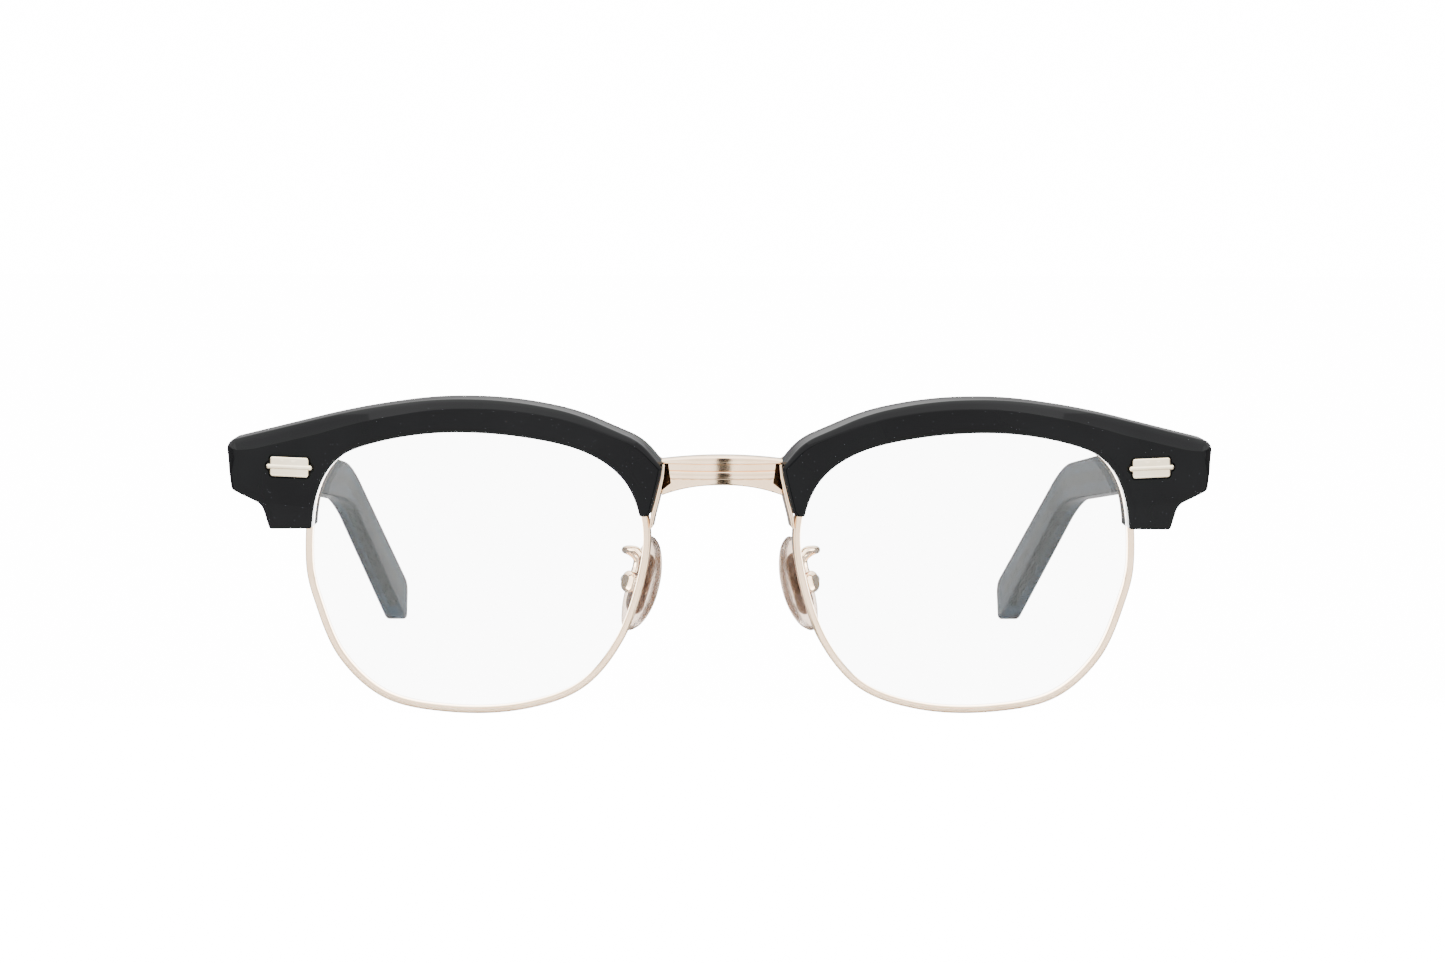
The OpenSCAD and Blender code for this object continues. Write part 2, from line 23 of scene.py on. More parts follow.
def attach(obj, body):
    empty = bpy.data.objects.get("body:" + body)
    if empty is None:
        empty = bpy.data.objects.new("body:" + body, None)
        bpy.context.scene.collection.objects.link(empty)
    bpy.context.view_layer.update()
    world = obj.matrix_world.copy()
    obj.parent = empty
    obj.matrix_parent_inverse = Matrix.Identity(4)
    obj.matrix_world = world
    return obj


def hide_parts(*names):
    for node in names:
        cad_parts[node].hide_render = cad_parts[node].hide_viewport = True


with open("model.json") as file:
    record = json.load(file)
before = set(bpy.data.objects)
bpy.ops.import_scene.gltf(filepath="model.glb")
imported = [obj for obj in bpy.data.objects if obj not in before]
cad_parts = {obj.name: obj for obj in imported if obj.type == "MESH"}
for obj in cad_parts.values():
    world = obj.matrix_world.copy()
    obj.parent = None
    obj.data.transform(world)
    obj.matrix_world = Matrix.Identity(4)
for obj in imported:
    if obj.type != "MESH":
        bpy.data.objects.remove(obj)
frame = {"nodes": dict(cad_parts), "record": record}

LOG = logging.getLogger("eyeglasses")
MM = 0.001
SHARP_ANGLE = math.radians(32)
Point = tuple[float, float]
Corner = tuple[float, float, float]


class Side(Enum):
    """Which of the wearer's sides a piece is on."""

    LEFT = "left"
    RIGHT = "right"


# ---- outlines ---------------------------------------------------------------


def unit(vector: np.ndarray) -> np.ndarray:
    """Returns the vector at length one."""
    return vector / np.linalg.norm(vector)


def smooth_curve(points: np.ndarray, steps: int, closed: bool) -> np.ndarray:
    """Draws a smooth curve through points.

    Args:
        points: one row for each point.
        steps: pieces between two neighbouring points.
        closed: whether the last point joins the first.

    Returns:
        The points of the curve, one row each.
    """
    count = len(points)
    spans = count if closed else count - 1

    def at(index: int) -> np.ndarray:
        """Returns a point by its number, past either end too."""
        return points[index % count] if closed else points[min(max(index, 0), count - 1)]

    curve = []
    for i in range(spans):
        a, b, c, d = at(i - 1), at(i), at(i + 1), at(i + 2)
        for step in range(steps):
            t = step / steps
            curve.append(0.5 * (2 * b + (c - a) * t + (2 * a - 5 * b + 4 * c - d) * t**2
                                + (3 * b - a - 3 * c + d) * t**3))
    if not closed:
        curve.append(points[-1])
    return np.array(curve)


def outline_normals(points: np.ndarray) -> np.ndarray:
    """Returns the inward normals of a counter-clockwise outline."""
    along = np.roll(points, -1, axis=0) - np.roll(points, 1, axis=0)
    along /= np.linalg.norm(along, axis=1)[:, None]
    return np.stack([-along[:, 1], along[:, 0]], axis=1)


def grown(points: np.ndarray, distance: float) -> np.ndarray:
    """Moves a counter-clockwise outline outwards by a distance."""
    return points - distance * outline_normals(points)


def rounded(corners: list[Corner], steps: int = 10) -> np.ndarray:
    """Rounds each corner of an outline by its own radius.

    Args:
        corners: across, up and radius. A radius of zero leaves the point as it is.
        steps: pieces in each arc.

    Returns:
        The points of the outline.
    """
    count = len(corners)
    points = []
    for i, (x, y, radius) in enumerate(corners):
        here = np.array([x, y])
        if radius == 0:
            points.append(here)
            continue
        before = unit(np.array(corners[i - 1][:2]) - here)
        after = unit(np.array(corners[(i + 1) % count][:2]) - here)
        half = math.acos(float(np.clip(before @ after, -1, 1))) / 2
        middle = here + unit(before + after) * radius / math.sin(half)
        start = here + before * radius / math.tan(half) - middle
        end = here + after * radius / math.tan(half) - middle
        for step in range(steps + 1):
            blend = start * (1 - step / steps) + end * step / steps
            points.append(middle + radius * unit(blend))
    return np.array(points)


def rounded_box(width: float, height: float, corner: float, steps: int = 10,
                middle: Point = (0.0, 0.0)) -> np.ndarray:
    """Returns the outline of a rectangle with rounded corners about its middle."""
    return rounded([(middle[0] + x * width / 2, middle[1] + y * height / 2, corner)
                    for x, y in ((1, 1), (-1, 1), (-1, -1), (1, -1))], steps)


def evenly(points: np.ndarray, spacing: float) -> np.ndarray:
    """Spaces the points of a closed outline evenly along it."""
    loop = np.vstack([points, points[:1]])
    length = np.concatenate([[0], np.cumsum(np.linalg.norm(np.diff(loop, axis=0), axis=1))])
    count = int(round(length[-1] / spacing))
    at = np.linspace(0, length[-1], count, endpoint=False)
    return np.stack([np.interp(at, length, loop[:, 0]), np.interp(at, length, loop[:, 1])], axis=1)


def inside(points: np.ndarray, outline: np.ndarray) -> np.ndarray:
    """Tells which points lie inside an outline."""
    result = np.zeros(len(points), dtype=bool)
    start, end = outline, np.roll(outline, -1, axis=0)
    for (ax, ay), (bx, by) in zip(start, end):
        crosses = (ay > points[:, 1]) != (by > points[:, 1])
        slope = (bx - ax) * (points[:, 1] - ay) / ((by - ay) if by != ay else 1) + ax
        result ^= crosses & (points[:, 0] < slope)
    return result


def distance_to(points: np.ndarray, outline: np.ndarray) -> np.ndarray:
    """Returns each point's distance to the nearest point of an outline."""
    return np.array([np.min(np.linalg.norm(outline - p, axis=1)) for p in points])


def inset(outline: np.ndarray, amount: np.ndarray | float) -> np.ndarray:
    """Moves an outline inwards, drawing tight corners together instead of crossing them.

    Args:
        outline: the counter-clockwise outline.
        amount: how far it moves, or how far each of its points does.

    Returns:
        As many points as the outline has.
    """
    count = len(outline)
    amount = np.broadcast_to(amount, count)
    moved = outline + outline_normals(outline) * amount[:, None]
    kept = distance_to(moved, outline) > amount * 0.93 - 0.012
    if kept.all() or not kept.any():
        return moved
    index = np.arange(count)
    good = index[kept]
    wrapped = np.concatenate([good - count, good, good + count])
    values = np.vstack([moved[kept]] * 3)
    return np.stack([np.interp(index, wrapped, values[:, 0]),
                     np.interp(index, wrapped, values[:, 1])], axis=1)


# ---- places -----------------------------------------------------------------


def turn_x(points: np.ndarray, angle: float) -> np.ndarray:
    """Turns points about the X axis."""
    c, s = math.cos(angle), math.sin(angle)
    return points @ np.array([[1, 0, 0], [0, c, s], [0, -s, c]])


def turn_y(points: np.ndarray, angle: float) -> np.ndarray:
    """Turns points about the Y axis."""
    c, s = math.cos(angle), math.sin(angle)
    return points @ np.array([[c, 0, -s], [0, 1, 0], [s, 0, c]])


def turn_z(points: np.ndarray, angle: float) -> np.ndarray:
    """Turns points about the Z axis."""
    c, s = math.cos(angle), math.sin(angle)
    return points @ np.array([[c, s, 0], [-s, c, 0], [0, 0, 1]])


def carried(move: Callable, spot: Corner) -> np.ndarray:
    """Returns where a place takes one point."""
    return move(np.array([spot], dtype=float))[0]


def direction(move: Callable, way: Corner) -> np.ndarray:
    """Returns the world's unit direction for a direction inside a place."""
    return unit(carried(move, way) - carried(move, (0, 0, 0)))


def joint(name: str) -> dict:
    """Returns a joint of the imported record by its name."""
    return next(j for j in frame["record"]["behaviour"]["joints"] if j["name"] == name)


@dataclass(frozen=True)
class HalfPlace:
    """Where the left half of the front stands, and the sphere that it follows."""

    wrap: float = math.radians(6)
    lean: float = math.radians(4.5)
    nose_x: float = 9.0
    hinge: tuple[float, float, float] = (64.2, 19.4, 0.5)
    radius: float = 140.0
    eye_x: float = 35.5
    eye_z: float = -12.85

    @property
    def origin(self) -> np.ndarray:
        """The bridge's middle in the world, from the left hinge joint."""
        axis_point = np.array(joint("temple_left_fold")["pos_m"]) / MM
        return axis_point - turn_x(np.array([self.hinge]), self.lean)[0]

    @property
    def shift(self) -> np.ndarray:
        """The upright line about which the half is wrapped."""
        return np.array([self.nose_x, 0, 0])

    def front(self, points: np.ndarray) -> np.ndarray:
        """Carries points of the whole front into the world."""
        return (turn_x(points, self.lean) + self.origin) * MM

    def half(self, points: np.ndarray) -> np.ndarray:
        """Carries points of the left half into the world."""
        return self.front(turn_z(points - self.shift, self.wrap) + self.shift)

    def depth(self, flat: np.ndarray, behind: np.ndarray | float) -> np.ndarray:
        """Returns the depth of points that lie a distance behind the lens sphere.

        Args:
            flat: across and up of each point.
            behind: distance behind the front of the rim.
        """
        reach = (flat[:, 0] - self.eye_x) ** 2 + (flat[:, 1] - self.eye_z) ** 2
        return self.radius - np.sqrt((self.radius - behind) ** 2 - reach)

    def curved(self, flat: np.ndarray, behind: np.ndarray | float) -> np.ndarray:
        """Returns points of the half that lie on the sphere, from across and up."""
        return np.stack([flat[:, 0], self.depth(flat, behind), flat[:, 1]], axis=1)

    def behind_world(self, world: np.ndarray) -> np.ndarray:
        """Returns how far behind the lens sphere points of the world lie."""
        local = turn_x(world / MM - self.origin, -self.lean)
        local = turn_z(local - self.shift, -self.wrap) + self.shift
        centre = np.array([self.eye_x, self.radius, self.eye_z])
        return self.radius - np.linalg.norm(local - centre, axis=1)


@dataclass(frozen=True)
class TemplePlace:
    """Where the left temple stands: its Z runs along the hinge axis."""

    def world(self, points: np.ndarray) -> np.ndarray:
        """Carries points of the temple into the world."""
        fold = joint("temple_left_fold")
        slope = math.asin(fold["axis"][1])
        return (turn_x(points, -slope) + np.array(fold["pos_m"]) / MM) * MM


@dataclass(frozen=True)
class PadPlace:
    """Where the left nose pad stands: X away from the nose, Z along the pad."""

    splay: float = math.radians(35)
    tilt: float = math.radians(16)
    lean: float = HalfPlace.lean

    def world(self, points: np.ndarray) -> np.ndarray:
        """Carries points of the pad into the world."""
        turned = turn_x(turn_y(turn_z(points, -self.splay), -self.tilt), self.lean)
        return (turned + np.array(joint("pad_left_rock")["pos_m"]) / MM) * MM

    def laid(self, flat: np.ndarray, away: float) -> np.ndarray:
        """Carries flat points, at a distance away from the nose, into the world."""
        return self.world(np.column_stack([np.full(len(flat), away), flat]))


HALF = HalfPlace()


# ---- meshes -----------------------------------------------------------------


@dataclass
class Shell:
    """Points and faces of one closed mesh, in metres."""

    points: np.ndarray
    faces: list[tuple[int, ...]]

    def mirrored(self) -> "Shell":
        """Returns the same shell on the wearer's right."""
        return Shell(self.points * np.array([-1, 1, 1]), [f[::-1] for f in self.faces])

    def on(self, side: Side) -> "Shell":
        """Returns the shell on a side, from one drawn on the left."""
        return self if side is Side.LEFT else self.mirrored()

    def joined(self, other: "Shell") -> "Shell":
        """Returns both shells as one."""
        start = len(self.points)
        moved = [tuple(i + start for i in f) for f in other.faces]
        return Shell(np.vstack([self.points, other.points]), self.faces + moved)


def ring_faces(rings: int, around: int, closed: bool = False) -> list[tuple[int, ...]]:
    """Returns the quads between neighbouring rings of points."""
    faces = []
    for i in range(rings if closed else rings - 1):
        here, there = i * around, (i + 1) % rings * around
        for k in range(around):
            beside = (k + 1) % around
            faces.append((here + k, there + k, there + beside, here + beside))
    return faces


def loft(rings: list[np.ndarray]) -> Shell:
    """Joins rings of points into a shell with flat ends."""
    around = len(rings[0])
    faces = ring_faces(len(rings), around)
    last = (len(rings) - 1) * around
    faces.append(tuple(reversed(range(around))))
    faces.append(tuple(last + k for k in range(around)))
    return Shell(np.vstack(rings), faces)


def filled(edge: np.ndarray, loops: list[np.ndarray], spacing: float) -> tuple[np.ndarray, list]:
    """Covers the inside of an outline with triangles.

    Args:
        edge: points of the outline, which stay the first points of the result.
        loops: closed lines inside the outline that the triangles follow.
        spacing: distance between the points that fill the middle.

    Returns:
        The points, across and up, and the triangles between them.
    """
    low, high = edge.min(axis=0), edge.max(axis=0)
    grid = np.array([[x + (spacing / 2 if row % 2 else 0), y]
                     for row, y in enumerate(np.arange(low[1], high[1], spacing * 0.87))
                     for x in np.arange(low[0], high[0], spacing)])
    grid = grid[inside(grid, edge)] if len(grid) else grid.reshape(0, 2)
    for line in [edge, *loops]:
        if len(grid):
            grid = grid[distance_to(grid, line) > spacing * 0.55]
    points = [Vector(p) for p in edge]
    lines = []
    for line in loops:
        start = len(points)
        points += [Vector(p) for p in line]
        lines += [(start + i, start + (i + 1) % len(line)) for i in range(len(line))]
    points += [Vector(p) for p in grid]
    result = delaunay_2d_cdt(points, lines, [tuple(range(len(edge)))], 1, 1e-7)
    spots, triangles, origins = result[0], result[2], result[3]
    order = {}
    for new, old in enumerate(origins):
        if old and old[0] < len(edge):
            order[new] = old[0]
    extra = len(edge)
    flat = [tuple(p) for p in edge]
    for new, spot in enumerate(spots):
        if new not in order:
            order[new] = extra
            flat.append(tuple(spot))
            extra += 1
    return np.array(flat), [tuple(order[i] for i in t) for t in triangles]


def new_object(name: str, data: bpy.types.ID) -> bpy.types.Object:
    """Makes an object of a mesh, light or camera and puts it in the scene."""
    obj = bpy.data.objects.new(name, data)
    bpy.context.scene.collection.objects.link(obj)
    return obj


def new_mesh(name: str, points: np.ndarray, edges: list, faces: list) -> bpy.types.Mesh:
    """Makes a mesh from points, edges and faces."""
    mesh = bpy.data.meshes.new(name)
    mesh.from_pydata([tuple(p) for p in points], edges, faces)
    return mesh


def cleaned(mesh: bpy.types.Mesh) -> None:
    """Merges a mesh's doubled points and turns its faces outwards."""
    work = bmesh.new()
    work.from_mesh(mesh)
    bmesh.ops.remove_doubles(work, verts=work.verts, dist=1e-7)
    bmesh.ops.recalc_face_normals(work, faces=work.faces)
    work.to_mesh(mesh)
    work.free()


def shaded(mesh: bpy.types.Mesh, angle: float = SHARP_ANGLE) -> None:
    """Shades a mesh smooth between edges that are sharper than an angle."""
    mesh.shade_smooth()
    mesh.set_sharp_from_angle(angle=angle)


def mesh_object(name: str, shell: Shell, smooth: bool = True) -> bpy.types.Object:
    """Makes an object from a shell, with outward normals and its creases kept.

    Args:
        name: the object's name.
        shell: its points and faces.
        smooth: whether the faces between creases are shaded smooth.
    """
    mesh = new_mesh(name, shell.points, [], shell.faces)
    cleaned(mesh)
    if smooth:
        shaded(mesh)
    return new_object(name, mesh)


def applied(obj: bpy.types.Object) -> bpy.types.Object:
    """Turns an object's modifiers into a plain mesh."""
    evaluated = obj.evaluated_get(bpy.context.evaluated_depsgraph_get())
    mesh = bpy.data.meshes.new_from_object(evaluated)
    mesh.name = obj.name
    old = obj.data
    obj.modifiers.clear()
    obj.data = mesh
    if isinstance(old, bpy.types.Mesh):
        bpy.data.meshes.remove(old)
    return obj


def carved(obj: bpy.types.Object, form: Shell, operation: str) -> None:
    """Cuts an object with a form, or down to it, as the Boolean operation says."""
    tool = mesh_object("form", form, False)
    modifier = obj.modifiers.new("form", "BOOLEAN")
    modifier.operation = operation
    modifier.solver = "MANIFOLD"
    modifier.object = tool
    applied(obj)
    bpy.data.objects.remove(tool)


def capped(flats: list[np.ndarray], rings: list[np.ndarray],
           ends: tuple[tuple[list, Callable], tuple[list, Callable]], spacing: float) -> Shell:
    """Joins rings of points into a shell whose two ends are filled with triangles.

    Args:
        flats: the rings, across and up.
        rings: the rings in the world.
        ends: for the first and last ring, the lines that its triangles follow and
            what carries flat points of that end into the world.
        spacing: distance between the points inside the ends.
    """
    around = len(flats[0])
    faces = ring_faces(len(rings), around)
    points = list(rings)
    start = len(rings) * around
    for ring, (loops, place) in zip((0, len(rings) - 1), ends):
        flat, triangles = filled(flats[ring], loops, spacing)
        extra = flat[around:]
        if len(extra):
            points.append(place(extra))
        faces += [tuple(i + ring * around if i < around else i - around + start for i in t)
                  for t in triangles]
        start += len(extra)
    return Shell(np.vstack(points), faces)


@dataclass(frozen=True)
class Edge:
    """Section of a slab's edge: a chamfer or rounding at the front, a small one behind.

    Attributes:
        front: how far the front chamfer reaches in.
        drop: how deep the front chamfer is.
        back: rounding at the back.
        soft: length of the rounding at both ends of the chamfer.
    """

    front: float = 0.3
    drop: float = 0.3
    back: float = 0.2
    soft: float = 0.1


def slab(outline: np.ndarray, front: float, back: float, edge: Edge, place: Callable,
         spacing: float = 3.0) -> Shell:
    """Makes a plate with rounded edges.

    Args:
        outline: its counter-clockwise outline, across and up.
        front: depth of its front face.
        back: depth of its back face.
        edge: section of its edge.
        place: turns flat points and a depth into points of the world.
        spacing: distance between the points inside its faces.
    """
    thick = back - front
    section = [
        (edge.front + edge.soft + 0.1, 0.0), (edge.front + edge.soft, 0.0),
        (edge.front * 0.9, edge.drop * 0.1 + 0.01), (edge.front * 0.3, edge.drop * 0.6),
        (0.02, edge.drop + edge.soft * 0.2), (0.0, edge.drop + edge.soft),
        (0.0, thick - edge.back), (edge.back * 0.3, thick - edge.back * 0.3),
        (edge.back, thick)]
    flats = [inset(outline, amount) for amount, _ in section]
    rings = [place(flat, front + deep) for flat, (_, deep) in zip(flats, section)]
    ends = (([], lambda flat: place(flat, front)), ([], lambda flat: place(flat, back)))
    return capped(flats, rings, ends, spacing)


def on_half(flat: np.ndarray, behind: np.ndarray | float) -> np.ndarray:
    """Places flat points on the left half's sphere, in the world."""
    return HALF.half(HALF.curved(flat, behind))


# ---- node tools -------------------------------------------------------------


def new_tree(name: str, kind: str, inputs: dict[str, object],
             outputs: dict[str, str]) -> bpy.types.NodeTree:
    """Makes a node tree with its inputs and outputs.

    Args:
        name: the tree's name.
        kind: the kind of tree.
        inputs: a number, a colour or a kind of socket for each input.
        outputs: a kind of socket for each output.
    """
    tree = bpy.data.node_groups.new(name, kind)
    for label, value in inputs.items():
        sort = value if isinstance(value, str) else "Color" if isinstance(value, tuple) else "Float"
        socket = tree.interface.new_socket(name=label, in_out="INPUT",
                                           socket_type=f"NodeSocket{sort}")
        if not isinstance(value, str):
            socket.default_value = value
    for label, sort in outputs.items():
        tree.interface.new_socket(name=label, in_out="OUTPUT", socket_type=f"NodeSocket{sort}")
    return tree


def feed(tree: bpy.types.NodeTree, node: bpy.types.Node, inputs: dict) -> None:
    """Links or sets inputs of a node, by their names or numbers."""
    for key, value in inputs.items():
        if isinstance(value, bpy.types.NodeSocket):
            tree.links.new(value, node.inputs[key])
        else:
            node.inputs[key].default_value = value


def add_node(tree: bpy.types.NodeTree, kind: str, inputs: dict | None = None,
             **settings: object) -> bpy.types.bpy_prop_collection:
    """Adds a node and returns its outputs.

    Args:
        tree: the tree that gets the node.
        kind: the kind of node.
        inputs: sockets or values for its inputs, by their names or numbers.
        settings: the node's own settings.
    """
    node = tree.nodes.new(kind)
    for name, value in settings.items():
        setattr(node, name, value)
    feed(tree, node, inputs or {})
    return node.outputs


def math_node(tree: bpy.types.NodeTree, operation: str, *values: object) -> bpy.types.NodeSocket:
    """Adds a calculation with sockets or numbers and returns its result."""
    return add_node(tree, "ShaderNodeMath", dict(enumerate(values)), operation=operation)[0]


def map_range(tree: bpy.types.NodeTree, value: bpy.types.NodeSocket, start: Point,
              end: tuple = (0.0, 1.0), smooth: bool = False) -> bpy.types.NodeSocket:
    """Adds a node that maps a range of values to another and returns its result.

    Args:
        tree: the tree that gets the node.
        value: the value to map.
        start: the range that it comes from.
        end: the range that it goes to, in sockets or numbers.
        smooth: whether the change eases in and out.
    """
    return add_node(tree, "ShaderNodeMapRange", {
        "Value": value, "From Min": start[0], "From Max": start[1],
        "To Min": end[0], "To Max": end[1]},
        interpolation_type="SMOOTHSTEP" if smooth else "LINEAR")["Result"]


def axes_of(tree: bpy.types.NodeTree, space: str) -> bpy.types.bpy_prop_collection:
    """Returns the X, Y and Z of a texture coordinate."""
    spot = add_node(tree, "ShaderNodeTexCoord")
    return add_node(tree, "ShaderNodeSeparateXYZ", {"Vector": spot[space]})


def finish_tree(tree: bpy.types.NodeTree, entry: bpy.types.bpy_prop_collection,
                geometry: bpy.types.NodeSocket) -> bpy.types.NodeTree:
    """Ends a Geometry Nodes tree: makes its instances real and gives them their finish."""
    real = add_node(tree, "GeometryNodeRealizeInstances", {"Geometry": geometry})
    dress = add_node(tree, "GeometryNodeSetMaterial", {
        "Geometry": real["Geometry"], "Material": entry["Finish"]})
    add_node(tree, "NodeGroupOutput", {0: dress["Geometry"]})
    return tree


def set_inputs(modifier: bpy.types.Modifier, values: dict[str, object]) -> None:
    """Sets a Geometry Nodes modifier's inputs by their names."""
    identifiers = {s.name: s.identifier for s in modifier.node_group.interface.items_tree
                   if s.item_type == "SOCKET" and s.in_out == "INPUT"}
    for name, value in values.items():
        modifier[identifiers[name]] = value


def sweep_tree() -> bpy.types.NodeTree:
    """Builds the tree that runs a rounded rectangular wire along a line of edges."""
    tree = new_tree("wire_sweep", "GeometryNodeTree", {
        "Path": "Geometry", "Width": 1.0, "Height": 1.0, "Corner": 0.2, "Finish": "Material"},
        {"Wire": "Geometry"})
    entry = add_node(tree, "NodeGroupInput")
    line = add_node(tree, "GeometryNodeMeshToCurve", {"Mesh": entry["Path"]})
    normal = add_node(tree, "GeometryNodeSetCurveNormal", {"Curve": line["Curve"]}, mode="Z_UP")
    section = add_node(tree, "GeometryNodeCurvePrimitiveQuadrilateral", {
        "Width": entry["Width"], "Height": entry["Height"]})
    fillet = add_node(tree, "GeometryNodeFilletCurve", {
        "Curve": section["Curve"], "Radius": entry["Corner"], "Count": 5}, mode="POLY")
    sweep = add_node(tree, "GeometryNodeCurveToMesh", {
        "Curve": normal["Curve"], "Profile Curve": fillet["Curve"], "Fill Caps": True})
    return finish_tree(tree, entry, sweep["Mesh"])


def screw_tree() -> bpy.types.NodeTree:
    """Builds the tree that sets a slotted screw on each point, along its axis attribute."""
    tree = new_tree("slotted_screws", "GeometryNodeTree", {
        "Points": "Geometry", "Shank Radius": 0.0006, "Head Radius": 0.001,
        "Head Height": 0.0006, "Length": 0.005, "Slot Width": 0.0003, "Finish": "Material"},
        {"Screws": "Geometry"})
    entry = add_node(tree, "NodeGroupInput")

    def scaled(socket: bpy.types.NodeSocket, factor: float) -> bpy.types.NodeSocket:
        """Returns a value times a number."""
        return math_node(tree, "MULTIPLY", socket, factor)

    def point(x: object, z: object) -> bpy.types.NodeSocket:
        """Returns a point of the screw's section, from its radius and height."""
        return add_node(tree, "ShaderNodeCombineXYZ", {"X": x, "Z": z})["Vector"]

    shank, head, tall = (entry[name] for name in ("Shank Radius", "Head Radius", "Head Height"))
    deep = scaled(entry["Length"], -1.0)
    section = [
        point(1e-6, deep), point(scaled(shank, 0.7), deep),
        point(shank, math_node(tree, "ADD", deep, 0.0002)), point(shank, -1e-5),
        *(point(scaled(head, wide), scaled(tall, high)) for wide, high in (
            (0.93, 0.0), (1.0, 0.12), (1.0, 0.6), (0.93, 0.82), (0.6, 0.97))),
        point(1e-6, tall)]
    switch = tree.nodes.new("GeometryNodeIndexSwitch")
    switch.data_type = "VECTOR"
    while len(switch.index_switch_items) < len(section):
        switch.index_switch_items.new()
    index = add_node(tree, "GeometryNodeInputIndex")
    feed(tree, switch, {"Index": index["Index"],
                        **{number + 1: socket for number, socket in enumerate(section)}})
    line = add_node(tree, "GeometryNodeMeshLine", {"Count": len(section)})
    shape = add_node(tree, "GeometryNodeSetPosition", {
        "Geometry": line["Mesh"], "Position": switch.outputs["Output"]})
    profile = add_node(tree, "GeometryNodeMeshToCurve", {"Mesh": shape["Geometry"]})
    upright = add_node(tree, "GeometryNodeTransform", {
        "Geometry": profile["Curve"], "Rotation": (math.radians(90), 0, 0)})
    spin = add_node(tree, "GeometryNodeCurvePrimitiveCircle", {"Resolution": 36, "Radius": 1e-7})
    sweep = add_node(tree, "GeometryNodeCurveToMesh", {
        "Curve": spin["Curve"], "Profile Curve": upright["Geometry"]})
    merged = add_node(tree, "GeometryNodeMergeByDistance", {
        "Geometry": sweep["Mesh"], "Distance": 3e-6})
    size = add_node(tree, "ShaderNodeCombineXYZ", {
        "X": scaled(head, 3.0), "Y": entry["Slot Width"], "Z": tall})
    slot = add_node(tree, "GeometryNodeMeshCube", {"Size": size["Vector"]})
    lift = add_node(tree, "GeometryNodeTransform", {
        "Geometry": slot["Mesh"], "Translation": point(0.0, tall)})
    cut = add_node(tree, "GeometryNodeMeshBoolean", {
        "Mesh 1": merged["Geometry"], "Mesh 2": lift["Geometry"]},
        operation="DIFFERENCE", solver="MANIFOLD")
    axis = add_node(tree, "GeometryNodeInputNamedAttribute", {"Name": "axis"},
                    data_type="FLOAT_VECTOR")
    turn = add_node(tree, "FunctionNodeAlignRotationToVector", {"Vector": axis["Attribute"]},
                    axis="Z")
    place = add_node(tree, "GeometryNodeInstanceOnPoints", {
        "Points": entry["Points"], "Instance": cut["Mesh"], "Rotation": turn["Rotation"]})
    return finish_tree(tree, entry, place["Instances"])


def tree_object(name: str, tree: bpy.types.NodeTree, points: np.ndarray, edges: list,
                values: dict[str, object], attribute: np.ndarray | None = None) -> bpy.types.Object:
    """Runs a Geometry Nodes tree over points and returns the result as a plain mesh.

    Args:
        name: the object's name.
        tree: the tree to run.
        points: the points it starts from.
        edges: pairs of points that it joins.
        values: the tree's inputs by name.
        attribute: an axis for each point, if the tree reads one.
    """
    mesh = new_mesh(name, points, edges, [])
    if attribute is not None:
        layer = mesh.attributes.new("axis", "FLOAT_VECTOR", "POINT")
        layer.data.foreach_set("vector", attribute.ravel())
    obj = new_object(name, mesh)
    modifier = obj.modifiers.new("tree", "NODES")
    modifier.node_group = tree
    set_inputs(modifier, values)
    return applied(obj)


def tidied(obj: bpy.types.Object, move: Callable | None = None, mirror: bool = False) -> None:
    """Moves an object's points, turns its faces outwards and shades it.

    Args:
        obj: the object.
        move: carries its points into the world.
        mirror: whether it goes to the wearer's right.
    """
    mesh = obj.data
    points = np.empty(len(mesh.vertices) * 3)
    mesh.vertices.foreach_get("co", points)
    points = points.reshape(-1, 3)
    if move:
        points = move(points)
    if mirror:
        points = points * np.array([-1, 1, 1])
    mesh.vertices.foreach_set("co", points.ravel())
    cleaned(mesh)
    if "axis" in mesh.attributes:
        mesh.attributes.remove(mesh.attributes["axis"])
    shaded(mesh)


# ---- finishes ---------------------------------------------------------------


def shine_group() -> bpy.types.NodeTree:
    """Builds the shared group of hairline scratches, smudges and cloudy tone.

    Returns:
        A shader group with the outputs Color, Roughness and Height.
    """
    tree = new_tree("handled_shine", "ShaderNodeTree", {
        "Tone": (0.5, 0.5, 0.5, 1), "Deep Tone": (0.4, 0.4, 0.4, 1), "Cloud Scale": 120.0,
        "Scratch Scale": 900.0, "Smooth": 0.05, "Worn": 0.15},
        {"Color": "Color", "Roughness": "Float", "Height": "Float"})
    entry = add_node(tree, "NodeGroupInput")
    spot = add_node(tree, "ShaderNodeTexCoord")["Object"]
    cloud = add_node(tree, "ShaderNodeTexNoise", {
        "Vector": spot, "Scale": entry["Cloud Scale"], "Detail": 5})
    stretch = add_node(tree, "ShaderNodeMapping", {
        "Vector": spot, "Scale": (1.0, 0.12, 0.35), "Rotation": (0.3, 0.5, 0.7)})
    scratch = add_node(tree, "ShaderNodeTexNoise", {
        "Vector": stretch["Vector"], "Scale": entry["Scratch Scale"], "Detail": 3})
    thin = map_range(tree, scratch["Fac"], (0.56, 0.72))
    soft = map_range(tree, cloud["Fac"], (0.38, 0.66))
    tone = add_node(tree, "ShaderNodeMix", {
        "Factor": soft, 6: entry["Deep Tone"], 7: entry["Tone"]}, data_type="RGBA")
    marks = math_node(tree, "MULTIPLY_ADD", thin, 0.45, soft)
    rough = map_range(tree, marks, (0.0, 1.0), (entry["Smooth"], entry["Worn"]))
    add_node(tree, "NodeGroupOutput", {"Color": tone[2], "Roughness": rough, "Height": thin})
    return tree


